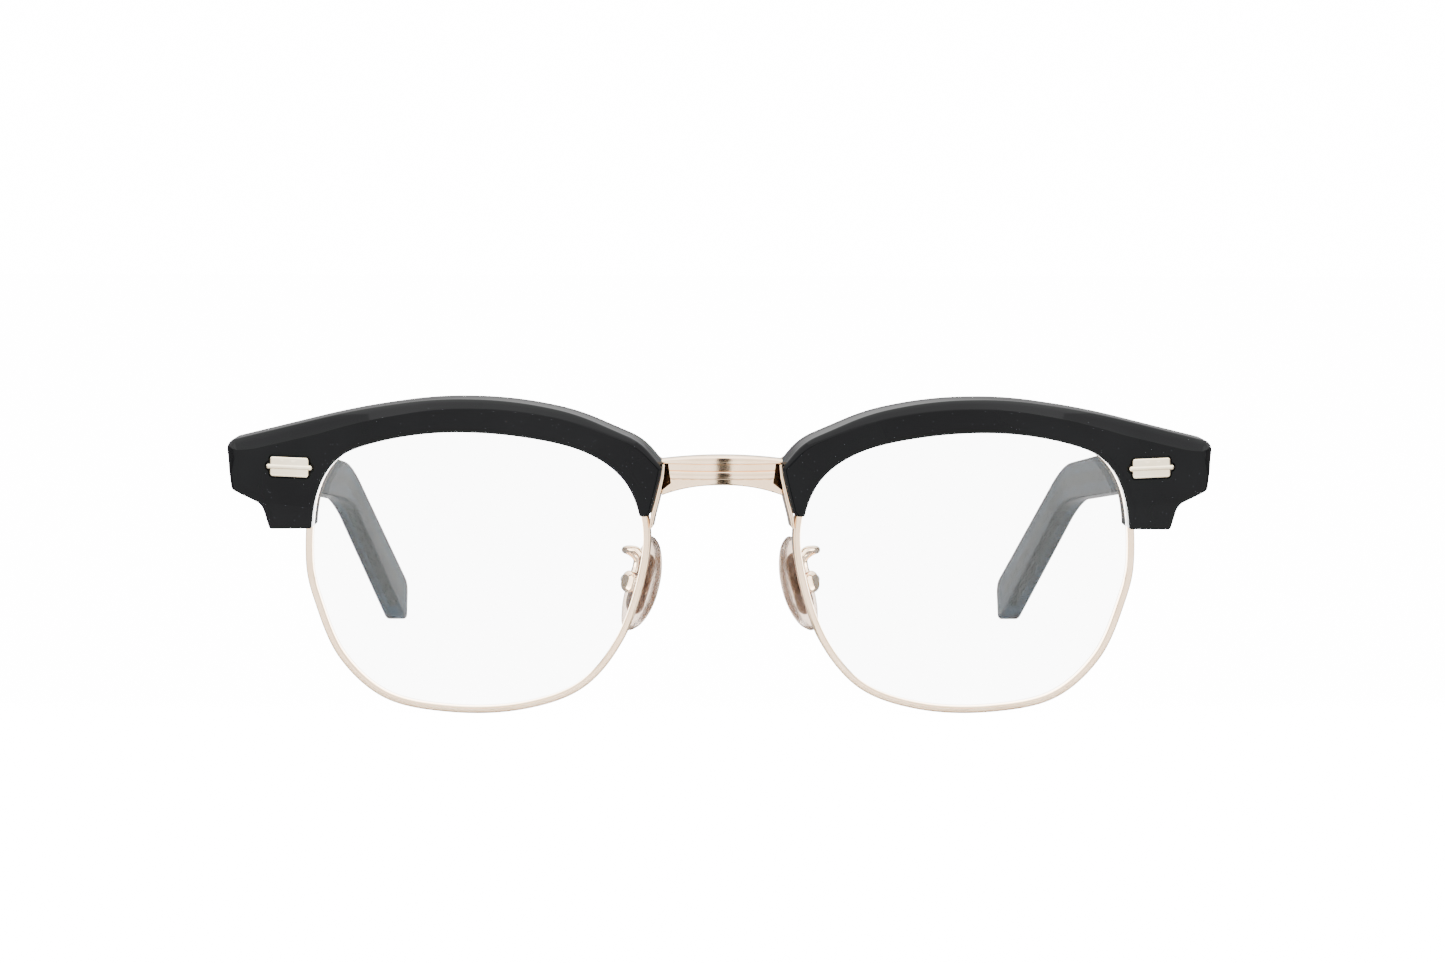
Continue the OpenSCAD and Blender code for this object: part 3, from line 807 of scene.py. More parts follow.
def new_material(name: str) -> tuple[bpy.types.Material, bpy.types.NodeTree, bpy.types.Node]:
    """Makes a material and returns it with its tree and its Principled shader."""
    material = bpy.data.materials.new(name)
    material.use_nodes = True
    return material, material.node_tree, material.node_tree.nodes["Principled BSDF"]


@dataclass(frozen=True)
class Finish:
    """A finish made of the shared shine group and a Principled shader's own values.

    Attributes:
        name: the material's name.
        slot: the record's material slot; not used.
        tone: lighter colour of the surface.
        deep: darker colour of the surface.
        smooth: roughness where the surface is clean.
        worn: roughness where it is handled.
        bump: height of the hairline scratches, in metres.
        cloud: scale of the cloudy tone.
        fixed: the shader's constant values by socket name.
    """

    name: str
    slot: str
    tone: tuple[float, float, float]
    deep: tuple[float, float, float]
    smooth: float = 0.04
    worn: float = 0.12
    bump: float = 2e-6
    cloud: float = 120.0
    fixed: dict[str, object] = field(default_factory=dict)

    def material(self, group: bpy.types.NodeTree) -> bpy.types.Material:
        """Builds the material around the shared group."""
        material, tree, shader = new_material(self.name)
        shine = add_node(tree, "ShaderNodeGroup", {
            "Tone": (*self.tone, 1), "Deep Tone": (*self.deep, 1), "Cloud Scale": self.cloud,
            "Smooth": self.smooth, "Worn": self.worn}, node_tree=group)
        bump = add_node(tree, "ShaderNodeBump", {
            "Strength": 0.35, "Distance": self.bump, "Height": shine["Height"]})
        feed(tree, shader, {"Base Color": shine["Color"], "Roughness": shine["Roughness"],
                            "Normal": bump["Normal"], **self.fixed})
        return material


class Finishes(Enum):
    """Every finish of the eyeglasses."""

    BLACK_ACETATE = Finish("black_acetate", "black_acetate", (0.0034, 0.0036, 0.0040),
                           (0.0018, 0.0019, 0.0022), 0.03, 0.08, 1e-6, 60.0,
                           {"IOR": 1.48, "Specular IOR Level": 0.1})
    ROSE_GOLD = Finish("rose_gold", "rose_gold", (0.95, 0.71, 0.48), (0.87, 0.62, 0.40),
                       0.05, 0.13, 1.5e-6, 160.0, {"Metallic": 1.0})
    # Painted shade: a dark brown copy of the rose gold for the slanted facets at the bridge's ends,
    # standing in for the shade in those pockets.
    PAINTED_SHADE = Finish("rose_gold_painted_shade", "rose_gold", (0.022, 0.014, 0.008),
                    (0.010, 0.006, 0.004), 0.25, 0.45, 2e-6, 300.0, {"Metallic": 1.0})
    PLAQUE = Finish("plaque_metal", "plaque_metal", (0.96, 0.84, 0.62), (0.86, 0.72, 0.50),
                    0.08, 0.16, 1.5e-6, 200.0, {"Metallic": 1.0})
    CORE = Finish("core_metal", "core_metal", (0.86, 0.72, 0.44), (0.74, 0.60, 0.34),
                  0.22, 0.36, 2e-6, 200.0, {"Metallic": 1.0})
    STEEL = Finish("steel", "steel", (0.66, 0.62, 0.57), (0.52, 0.49, 0.45),
                   0.14, 0.28, 2e-6, 220.0, {"Metallic": 1.0})
    SMOKE = Finish("smoke_acetate", "smoke_acetate", (0.0042, 0.0088, 0.0125),
                   (0.0018, 0.0042, 0.0064), 0.04, 0.12, 1e-6, 45.0,
                   {"IOR": 1.48, "Specular IOR Level": 0.2, "Transmission Weight": 0.85})
    LENS = Finish("clear_lens", "clear_lens", (0.998, 1.0, 1.0), (0.994, 0.998, 0.998),
                  0.0, 0.02, 0.0, 30.0, {"IOR": 1.25, "Transmission Weight": 1.0})
    SILICONE = Finish("silicone", "silicone", (0.30, 0.235, 0.19), (0.22, 0.17, 0.135),
                      0.16, 0.28, 1.5e-6, 90.0, {"IOR": 1.41, "Transmission Weight": 0.9})
    PAD_PLATE = Finish("pad_plate", "pad_plate", (0.20, 0.115, 0.066), (0.14, 0.078, 0.042),
                       0.3, 0.45, 2e-6, 120.0, {})


@dataclass
class Dresser:
    """Makes each material once and puts it on pieces."""

    group: bpy.types.NodeTree = field(default_factory=shine_group)
    made: dict[Finishes, bpy.types.Material] = field(default_factory=dict)

    def material(self, finish: Finishes) -> bpy.types.Material:
        """Returns a finish's material, made on first use."""
        if finish not in self.made:
            self.made[finish] = finish.value.material(self.group)
        return self.made[finish]

    def dress(self, obj: bpy.types.Object, finish: Finishes, body: str, *nodes: str) -> None:
        """Gives a piece its material, its body and the nodes that it replaces.

        Args:
            obj: the piece.
            finish: its finish.
            body: the body that it rides on.
            nodes: the frame's nodes that it stands for.
        """
        obj.data.materials.clear()
        obj.data.materials.append(self.material(finish))
        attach(obj, body)
        if nodes:
            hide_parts(*nodes)
        LOG.info("%s rides on %s", obj.name, body)


# ---- the front --------------------------------------------------------------


@dataclass(frozen=True)
class Eye:
    """Outline of a lens and the rim around it, in the left half."""

    rim: tuple[Point, ...] = (
        (61.5, -12.5), (60.7, -3.0), (57.2, 3.1), (50.9, 6.0), (41.0, 7.65),
        (30.0, 7.3), (20.0, 5.1), (13.6, 0.6), (10.8, -6.5), (11.4, -14.5),
        (14.7, -24.0), (20.6, -31.1), (29.5, -34.4), (40.0, -35.0),
        (49.8, -33.2), (56.6, -27.3), (60.2, -19.0))
    band: float = 1.1
    depth: float = 2.0
    lens: float = 1.2
    bite: float = 0.45

    def outline(self, steps: int = 12) -> np.ndarray:
        """Returns the rim's outer outline."""
        return smooth_curve(np.array(self.rim), steps, closed=True)

    def opening(self, steps: int = 12) -> np.ndarray:
        """Returns the rim's inner outline."""
        return grown(self.outline(steps), -self.band)


EYE = Eye()


@dataclass
class Rims:
    """The two polished rims, and the lenses in them."""

    dresser: Dresser
    sweep: bpy.types.NodeTree
    corner: float = 0.34
    play: float = 0.03

    def build(self) -> None:
        """Builds both rims and both lenses."""
        middle = grown(EYE.outline(14), -EYE.band / 2)
        depth = HALF.depth(middle, EYE.depth / 2)
        path = np.column_stack([middle, depth])
        edges = [(i, (i + 1) % len(path)) for i in range(len(path))]
        for side in Side:
            name = f"rim_{side.value}"
            wire = tree_object(f"{name}_wire", self.sweep, path, edges, {
                "Width": EYE.band, "Height": EYE.depth, "Corner": self.corner,
                "Finish": self.dresser.material(Finishes.ROSE_GOLD)})
            tidied(wire, lambda p: HALF.half(p[:, [0, 2, 1]]), side is Side.RIGHT)
            self.dresser.dress(wire, Finishes.ROSE_GOLD, "front", name)
            self.lens(side)

    def lens(self, side: Side) -> None:
        """Builds one lens with its two curved faces."""
        outline = evenly(grown(EYE.opening(), EYE.bite - self.play), 0.6)
        middle = np.array([HALF.eye_x, HALF.eye_z])
        front = (EYE.depth - EYE.lens) / 2
        scales = [*np.linspace(0.04, 0.9, 24), 0.97, 0.985, 0.997, 1.0]
        shell = loft([on_half(middle + (outline - middle) * scale, behind)
                      for order, behind in ((scales, front), (scales[::-1], front + EYE.lens))
                      for scale in order])
        lens = mesh_object(f"lens_{side.value}_glass", shell.on(side))
        self.dresser.dress(lens, Finishes.LENS, "front", f"lens_{side.value}")


@dataclass
class Brows:
    """The two glossy acetate brows with their chamfered upper edge."""

    dresser: Dresser
    front: float = -1.4
    back: float = 4.6
    groove: float = 1.06
    tip_up: float = -5.35
    foot_up: float = -7.95
    outer: tuple[Corner, ...] = ((73.8, 4.2, 1.5),)
    top: tuple[Corner, ...] = (
        (54.2, 9.5, 110), (42.2, 11.4, 58), (31.0, 11.4, 58), (21.6, 9.5, 32), (12.1, 5.4, 9))
    nose: tuple[Corner, ...] = ((8.9, 1.6, 0.4), (10.6, -5.45, 1.1))
    foot: tuple[Corner, ...] = ((66.8, -8.3, 0.45), (68.0, -4.7, 2.2), (72.8, -2.8, 0.8))
    chamfer: tuple[Point, ...] = (
        (8.5, 0.3), (10.5, 0.55), (14.0, 0.85), (20.0, 1.0), (30.0, 1.15), (42.0, 1.3),
        (52.0, 1.6), (60.0, 2.0), (70.0, 1.9), (72.6, 1.5), (74.0, 0.9))
    plain: float = 0.28
    end_chamfer: float = 0.55
    end_x: float = 72.2
    top_start: float = 0.9
    groove_margin: float = 0.9
    corner_room: float = 0.7
    recess: float = 0.3

    def outline(self) -> np.ndarray:
        """Returns the brow's outline: round the outside, then along the lens opening."""
        opening = EYE.opening(16)[::-1]
        start = int(np.argmin(opening[:, 1]))
        opening = np.roll(opening, -start, axis=0)
        across = opening[:, 0]
        nose_side = across < HALF.eye_x
        first = next(i for i in range(len(opening)) if nose_side[i]
                     and opening[i, 1] > self.tip_up)
        last = next(i for i in range(first, len(opening)) if across[i] > HALF.eye_x
                    and opening[i, 1] < self.foot_up)
        run = opening[first:last]
        past_tip = np.linalg.norm(run - run[0], axis=1) > self.corner_room
        before_foot = np.linalg.norm(run - run[-1], axis=1) > self.corner_room
        inner = [(float(x), float(y), 0.0) for x, y in run[past_tip & before_foot]]
        tip = (float(run[0, 0]), self.tip_up, 0.3)
        heel = (float(run[-1, 0]), self.foot_up, 0.22)
        corners = [*self.outer, *self.top, *self.nose, tip, *inner, heel, *self.foot]
        return evenly(rounded(corners), 0.3)

    def weights(self, outline: np.ndarray) -> tuple[np.ndarray, np.ndarray]:
        """Returns the chamfer's width and the groove's depth along the outline."""
        opening = EYE.opening(120)
        beside_lens = distance_to(outline, opening) < 0.1
        along_top = ~beside_lens & (outline[:, 1] > self.top_start)
        wide = np.interp(outline[:, 0], *np.array(self.chamfer).T)
        chamfer = np.where(along_top, wide, self.plain)
        outer_end = (outline[:, 0] > self.end_x) & (outline[:, 1] <= self.top_start)
        chamfer = np.where(outer_end, self.end_chamfer, chamfer)
        lowest = max(self.tip_up, self.foot_up) + self.groove_margin
        groove = np.where(beside_lens & (outline[:, 1] > lowest), self.groove, 0.0)
        window = np.hanning(11)
        window /= window.sum()

        def eased(values: np.ndarray) -> np.ndarray:
            """Evens values out along the outline."""
            wrapped = np.concatenate([values[-5:], values, values[:5]])
            return np.convolve(wrapped, window, mode="valid")

        return eased(chamfer), np.minimum(groove, eased(groove))

    def shell(self, plaque: np.ndarray) -> Shell:
        """Builds the left brow.

        Args:
            plaque: outline of the plaque that sits in a shallow recess.
        """
        outline = self.outline()
        chamfer, groove = self.weights(outline)
        drop = np.minimum(chamfer * 0.8, 1.2)
        soft = 0.07
        thick, lip = self.back - self.front, -self.front
        section = [
            (chamfer + soft + 0.16, 0.0), (chamfer + soft, 0.0),
            (chamfer - 0.2 * soft, 0.018 + 0.04 * drop), (chamfer * 0.5, 0.5 * drop),
            (0.09 * chamfer, 0.9 * drop), (0.01, drop + 0.08), (0.0, drop + 0.2),
            (0.0, lip - 0.02), (groove, lip), (groove, lip + EYE.depth + 0.02),
            (0.0, lip + EYE.depth + 0.04), (0.0, thick - 0.5), (0.05, thick - 0.22),
            (0.2, thick - 0.06), (0.42, thick)]
        flats = [inset(outline, amount) for amount, _ in section]
        rings = [on_half(flat, self.front + deep) for flat, (_, deep) in zip(flats, section)]

        def face(flat: np.ndarray) -> np.ndarray:
            """Places points of the front face, deeper where the plaque sits."""
            near = inside(flat, grown(plaque, 0.2))
            return on_half(flat, np.where(near, self.front + self.recess, self.front))

        ends = (([grown(plaque, 0.17), grown(plaque, 0.24)], face),
                ([], lambda flat: on_half(flat, self.back)))
        return capped(flats, rings, ends, 0.9)

    def build(self, plaque: np.ndarray) -> None:
        """Builds both brows, each with a recess for its plaque."""
        shell = self.shell(plaque)
        for side in Side:
            brow = mesh_object(f"brow_{side.value}_acetate", shell.on(side))
            self.dresser.dress(brow, Finishes.BLACK_ACETATE, "front", f"brow_{side.value}")


@dataclass
class Plaques:
    """The metal shields on the brow ends, each with a raised bar across it."""

    dresser: Dresser
    middle: Point = (63.7, 1.0)
    width: float = 6.0
    height: float = 2.9
    bar_width: float = 7.1
    bar_height: float = 0.95
    surface: float = -1.4
    raised: float = 0.45
    bar_raised: float = 0.68

    def outline(self) -> np.ndarray:
        """Returns the outline of the shield together with its bar's ends."""
        x, y = self.middle
        w, h = self.width / 2, self.height / 2
        ear_w, ear_h = self.bar_width / 2, self.bar_height / 2
        quarter = ((w, h, 0.45), (w, ear_h, 0.05), (ear_w, ear_h, 0.38))
        corners = []
        for right, up in ((1, 1), (-1, 1), (-1, -1), (1, -1)):
            run = quarter if right * up < 0 else quarter[::-1]
            corners += [(x + right * a, y + up * b, radius) for a, b, radius in run]
        return rounded(corners, 5)

    def build(self) -> None:
        """Builds both plaques."""
        seat = self.surface + 0.28
        body = slab(rounded_box(self.width, self.height, 0.45, 8, self.middle),
                    self.surface - self.raised, seat, Edge(0.22, 0.2, 0.05, 0.08), on_half, 0.8)
        bar = slab(rounded_box(self.bar_width, self.bar_height * 0.78, 0.36, 8, self.middle),
                   self.surface - self.bar_raised, seat, Edge(0.3, 0.26, 0.05, 0.05), on_half, 0.8)
        for side in Side:
            plaque = mesh_object(f"end_plaque_{side.value}_shield", body.joined(bar).on(side))
            self.dresser.dress(plaque, Finishes.PLAQUE, "front", f"end_plaque_{side.value}")


@dataclass
class Bridge:
    """The polished bridge: two ribs across a bar, collars and screw ears, with painted shade on the
    facets at the bar's ends.
    """

    dresser: Dresser
    reach: float = 8.75
    front: float = 2.0
    back: float = 4.2
    bow: float = 34.0
    ribs: tuple[tuple[float, float, float], ...] = ((2.78, 0.66, 0.46), (0.58, 0.64, 0.44))
    stations: int = 72
    facet: tuple[Point, ...] = (
        (8.95, 2.2), (7.8, 2.2), (7.42, -0.65), (8.85, -1.84), (9.6, -1.84), (9.6, 2.2))
    touch: float = 0.02
    link: tuple[Corner, ...] = (
        (8.95, 1.9, 0.15), (8.4, 1.7, 0.15), (8.6, -0.8, 0.15), (9.3, -0.8, 0.15))
    collar: tuple[Corner, ...] = (
        (8.95, 2.15, 0.12), (8.6, 2.1, 0.1), (8.74, 0.3, 0.2), (9.45, -3.2, 0.5),
        (10.05, -5.6, 0.5), (10.35, -7.2, 0.3), (10.75, -7.2, 0.15), (10.6, -5.2, 0.3),
        (10.05, -3.2, 0.5), (9.25, 0.2, 0.3))
    ear: tuple[Corner, ...] = (
        (15.4, 4.9, 1.0), (12.6, 4.3, 1.0), (8.4, 1.6, 0.3), (8.7, -0.9, 0.3),
        (12.0, -0.2, 0.5), (15.2, 2.2, 1.0))

    crest: float = 3.5
    arch: float = -0.93
    facet_start: float = 7.42
    facet_drop: float = 0.88
    facet_slope: float = 0.9
    soft: float = 0.35

    def top(self, x: float) -> float:
        """Returns the height of the upper edge."""
        return self.crest - 0.65 * (x / 8.5) ** 2

    def bottom(self, x: float) -> float:
        """Returns the height of the arched lower edge."""
        return self.arch - 2.0 * (abs(x) / 9.6) ** 2.2

    def facet_depth(self, x: float) -> float:
        """Returns the depth of the slanted facet at a distance from the middle."""
        return self.front + self.facet_drop + self.facet_slope * (x - self.facet_start)

    def ring(self, x: float) -> np.ndarray:
        """Returns the bar's section at a distance from the middle."""
        high, low = self.top(x), self.bottom(x)
        heights = np.concatenate([
            np.linspace(high - 0.05, 2.78, 12), np.linspace(2.7, 0.62, 26),
            np.linspace(0.55, low + 0.05, 22)])
        depth = np.full(len(heights), self.front)
        for middle, half, raised in self.ribs:
            inside_rib = 1 - ((heights - middle) / half) ** 2
            depth -= raised * np.sqrt(np.clip(inside_rib, 0, 1))
        edge = np.minimum(high - heights, heights - low)
        depth += self.soft * (1 - np.clip(edge / self.soft, 0, 1)) ** 2
        bowed = x * x / (2 * self.bow)
        face = np.stack([np.full(len(heights), x), depth + bowed, heights], axis=1)
        back = np.array([
            [x, self.back - 0.5 + bowed, low], [x, self.back + bowed, low + 0.5],
            [x, self.back + bowed, high - 0.5], [x, self.back - 0.5 + bowed, high],
            [x, self.front + 0.9 + bowed, high]])
        return np.vstack([face, back])

    def bar(self) -> bpy.types.Object:
        """Builds the bar with a slanted facet cut into each end, whose faces are marked for the
        painted shade.
        """
        rings = [self.ring(x) for x in np.linspace(-self.reach, self.reach, self.stations)]
        bar = mesh_object("bridge_bar", loft(rings), False)
        for sign in (1, -1):
            carved(bar, loft([
                np.array([(x * sign, -3.0, z) for x, z in self.facet]),
                np.array([(x * sign, self.facet_depth(x), z) for x, z in self.facet])]),
                "DIFFERENCE")
        low, high = min(z for _, z in self.facet), max(z for _, z in self.facet)
        # Faces of the end facets get slot 1, the dark finish that paints the shade of the pockets.
        for face in bar.data.polygons:
            x, y, z = face.center
            on_facet = abs(y - self.facet_depth(abs(x))) < self.touch
            if on_facet and abs(x) > self.facet_start - 0.12 and low < z < high:
                face.material_index = 1
        tidied(bar, HALF.front)
        return bar

    def build(self) -> None:
        """Builds the bar, the collars round the brow ends and the screw ears."""
        bar = self.bar()
        # The marked facet faces get the second slot: painted shade in the pockets at the bar's
        # ends.
        painted_shade_marks = [face.material_index for face in bar.data.polygons]
        self.dresser.dress(bar, Finishes.ROSE_GOLD, "front", "bridge")
        bar.data.materials.append(self.dresser.material(Finishes.PAINTED_SHADE))
        bar.data.polygons.foreach_set("material_index", painted_shade_marks)
        mount = None
        for outline, spacing, front, back, edge, fill in (
                (self.collar, 0.15, -0.75, 2.8, Edge(0.1, 0.1, 0.1, 0.05), 1.0),
                (self.ear, 0.25, 4.62, 5.2, Edge(0.12, 0.12, 0.15, 0.05), 1.5),
                (self.link, 0.15, 1.5, 5.1, Edge(0.1, 0.1, 0.1, 0.05), 1.0)):
            plate = slab(evenly(rounded(list(outline)), spacing), front, back, edge, on_half, fill)
            mount = mount.joined(plate) if mount else plate
        for side in Side:
            piece = mesh_object(f"bridge_mount_{side.value}", mount.on(side))
            self.dresser.dress(piece, Finishes.ROSE_GOLD, "front")


# ---- temples ----------------------------------------------------------------


@dataclass
class Temples:
    """The smoke acetate temples with a metal core inside."""

    dresser: Dresser
    sweep: bpy.types.NodeTree
    straight: float = 92.0
    length: float = 145.0
    bend: float = math.radians(23.3)
    bend_radius: float = 40.0
    height: float = 7.0
    bend_height: float = 6.4
    tip_height: float = 8.2
    thick: float = 3.8
    gap: float = 1.8
    slant: float = math.radians(3.3)
    tip_slant: float = math.radians(8.4)
    inset: float = 0.03
    corner: float = 0.6
    brow_back: float = 5.05
    core_start: float = 16.5
    core_short: float = 6.5
    turn_start: float = 84.0
    turn_length: float = 16.0
    place: TemplePlace = field(default_factory=TemplePlace)

    @property
    def saved(self) -> float:
        """How much shorter the rounded bend is than a sharp one."""
        return self.bend_radius * (2 * math.tan(self.bend / 2) - self.bend)

    def line(self, s: np.ndarray) -> tuple[np.ndarray, np.ndarray, np.ndarray]:
        """Follows the temple's middle from the hinge.

        Args:
            s: distances along the temple.

        Returns:
            The middle's points, its downward angles and the strip's heights.
        """
        arc = self.bend * self.bend_radius
        start = self.straight - self.bend_radius * math.tan(self.bend / 2)
        angle = np.clip((s - start) / arc, 0, 1) * self.bend
        fine = np.linspace(0, s.max(), 4000)
        fine_angle = np.clip((fine - start) / arc, 0, 1) * self.bend
        step = fine[1] - fine[0]
        forward = np.cumsum(np.cos(fine_angle)) * step
        down = -np.cumsum(np.sin(fine_angle)) * step
        y = np.interp(s, fine, forward) + np.minimum(s, 0)
        z = np.interp(s, fine, down)
        path = np.linspace(-10, y.max(), 2000)
        path_turn = np.clip((path - self.turn_start) / self.turn_length, 0, 1)
        lean = np.tan(self.slant + (self.tip_slant - self.slant)
                      * path_turn**2 * (3 - 2 * path_turn))
        shift = np.concatenate([[0], np.cumsum((lean[1:] + lean[:-1]) / 2 * np.diff(path))])
        shift -= np.interp(0, path, shift)
        x = self.gap + self.thick / 2 - np.interp(y, path, shift)
        tall = np.interp(s, [0, start, start + arc, self.length],
                         [self.height, self.bend_height, self.bend_height + 0.3, self.tip_height])
        return np.stack([x, y, z], axis=1), angle, tall

    def section(self, tall: float, thick: float) -> np.ndarray:
        """Returns a soft-cornered section, across and up."""
        corner = min(self.corner, 0.42 * tall, 0.42 * thick)
        return rounded([(x * thick / 2, z * tall / 2, corner)
                        for x, z in ((1, -1), (1, 1), (-1, 1), (-1, -1))], 8)

    def shell(self) -> Shell:
        """Builds the left temple's acetate."""
        cap = self.tip_height / 2
        end = self.length - self.saved - 0.06
        straight = np.linspace(-3.0, end - cap, 150)
        around_end = end - cap + cap * np.sin(np.linspace(0, 0.485 * math.pi, 14)[1:])
        s = np.concatenate([straight, around_end])
        middle, angle, tall = self.line(s)
        rings = []
        for spot, down, height, along in zip(middle, angle, tall, s):
            left = max(0.0, (along - (end - cap)) / cap)
            shrink = math.sqrt(max(0.0, 1 - left * left))
            thin = max(0.5, shrink**0.3)
            flat = self.section((height - 2 * self.inset) * max(shrink, 0.05),
                                (self.thick - 2 * self.inset) * thin)
            ring = np.stack([flat[:, 0], flat[:, 1] * math.sin(down),
                             flat[:, 1] * math.cos(down)], axis=1)
            rings.append(ring + spot)
        rings[0] = self.trimmed(rings[0])
        rings[1] = 0.5 * (rings[0] + rings[2])
        return loft([self.place.world(ring) for ring in rings])

    def trimmed(self, ring: np.ndarray) -> np.ndarray:
        """Moves a ring along the temple until it follows the back of the brow."""
        for _ in range(12):
            short = self.brow_back - HALF.behind_world(self.place.world(ring))
            ring = ring + np.stack([np.zeros(len(ring)), short, np.zeros(len(ring))], axis=1)
        return ring

    def core(self, side: Side) -> None:
        """Builds the flat metal core that runs inside the temple."""
        s = np.linspace(self.core_start, self.length - self.saved - self.core_short, 120)
        middle, _, _ = self.line(s)
        wire = tree_object(f"temple_core_{side.value}_wire", self.sweep, middle,
                           [(i, i + 1) for i in range(len(middle) - 1)],
                           {"Width": 1.1, "Height": 2.0, "Corner": 0.3,
                            "Finish": self.dresser.material(Finishes.CORE)})
        tidied(wire, self.place.world, side is Side.RIGHT)
        self.dresser.dress(wire, Finishes.CORE, f"temple_{side.value}",
                           f"temple_core_{side.value}")

    def build(self) -> None:
        """Builds both temples and their cores."""
        shell = self.shell()
        for side in Side:
            temple = mesh_object(f"temple_{side.value}_acetate", shell.on(side))
            self.dresser.dress(temple, Finishes.SMOKE, f"temple_{side.value}",
                               f"temple_{side.value}")
            self.core(side)


# ---- nose pads --------------------------------------------------------------


@dataclass
class NosePads:
    """The soft pads, the plates inside them, and the arms that hold them."""

    dresser: Dresser
    sweep: bpy.types.NodeTree
    length: float = 14.6
    width: float = 7.6
    thick: float = 2.4
    face: float = -3.2
    crown: float = 26.0
    plate: Corner = (4.2, 9.4, 1.9)
    plate_thick: float = 0.76
    play: float = 0.02
    lug: Corner = (1.08, 1.96, 0.3)
    arm: tuple[tuple[float, float, float], ...] = (
        (12.75, 11.24, -15.04), (12.48, 11.24, -14.1), (12.45, 10.7, -12.9),
        (13.3, 9.7, -11.9), (14.1, 8.3, -11.3), (13.6, 6.9, -10.9), (12.4, 5.8, -10.9),
        (11.6, 5.05, -11.7))
    arm_d: float = 1.0
    place: PadPlace = field(default_factory=PadPlace)

    def oval(self, scale: float, steps: int = 64) -> np.ndarray:
        """Returns the pad's outline shrunk by a scale, across and up."""
        t = np.linspace(0, 2 * math.pi, steps, endpoint=False)
        half_w, half_l = self.width / 2 - self.play, self.length / 2 - self.play
        across, up = (np.sign(wave) * np.abs(wave) ** 0.95 * half
                      for wave, half in ((np.cos(t), half_w), (np.sin(t), half_l)))
        fuller = 1 - 0.08 * np.clip(up / half_l, -1, 1)
        return np.stack([across * fuller / 1.08, up], axis=1) * scale

    def pad(self) -> Shell:
        """Builds the left pad as one crowned closed form."""
        rings = []
        for scale, deep in (
                (0.05, 0.0), (0.3, 0.0), (0.55, 0.0), (0.75, 0.0), (0.88, 0.02), (0.96, 0.2),
                (1.0, 0.62), (0.99, 1.0), (0.93, 1.3), (0.8, 1.5), (0.55, 1.62), (0.3, 1.66),
                (0.05, 1.66)):
            flat = self.oval(scale)
            reach = np.sum(flat**2, axis=1)
            crown = self.crown - np.sqrt(self.crown**2 - reach)
            x = self.face + crown * (1.0 if deep < 1.0 else 0.45) + deep * 0.98
            rings.append(self.place.world(np.stack([x, flat[:, 0], flat[:, 1]], axis=1)))
        return loft(rings)

    def plate_shell(self) -> Shell:
        """Builds the stiff plate inside the pad and its lug."""
        middle = self.face + self.thick / 2
        half = self.plate_thick / 2
        plate = slab(evenly(rounded_box(*self.plate), 0.3), middle - half, middle + half,
                     Edge(0.15, 0.15, 0.15, 0.05), self.place.laid)
        lug = slab(rounded_box(*self.lug), middle + 0.3, middle + 2.58,
                   Edge(0.1, 0.1, 0.15, 0.05), self.place.laid)
        return plate.joined(lug)

    def build(self) -> None:
        """Builds both pads, plates and arms."""
        pad, plate = self.pad(), self.plate_shell()
        route = smooth_curve(np.array(self.arm), 10, closed=False)
        edges = [(i, i + 1) for i in range(len(route) - 1)]
        for side in Side:
            word = side.value
            soft = mesh_object(f"nose_pad_{word}_soft", pad.on(side))
            self.dresser.dress(soft, Finishes.SILICONE, f"pad_{word}", f"nose_pad_{word}")
            stiff = mesh_object(f"pad_core_{word}_plate", plate.on(side))
            self.dresser.dress(stiff, Finishes.PAD_PLATE, f"pad_{word}", f"pad_core_{word}")
            arm = tree_object(f"pad_arm_{word}_wire", self.sweep, route, edges, {
                "Width": self.arm_d, "Height": self.arm_d, "Corner": self.arm_d * 0.49,
                "Finish": self.dresser.material(Finishes.ROSE_GOLD)})
            tidied(arm, HALF.front, side is Side.RIGHT)
            self.dresser.dress(arm, Finishes.ROSE_GOLD, "front", f"pad_arm_{word}")


# ---- small metal parts --------------------------------------------------------


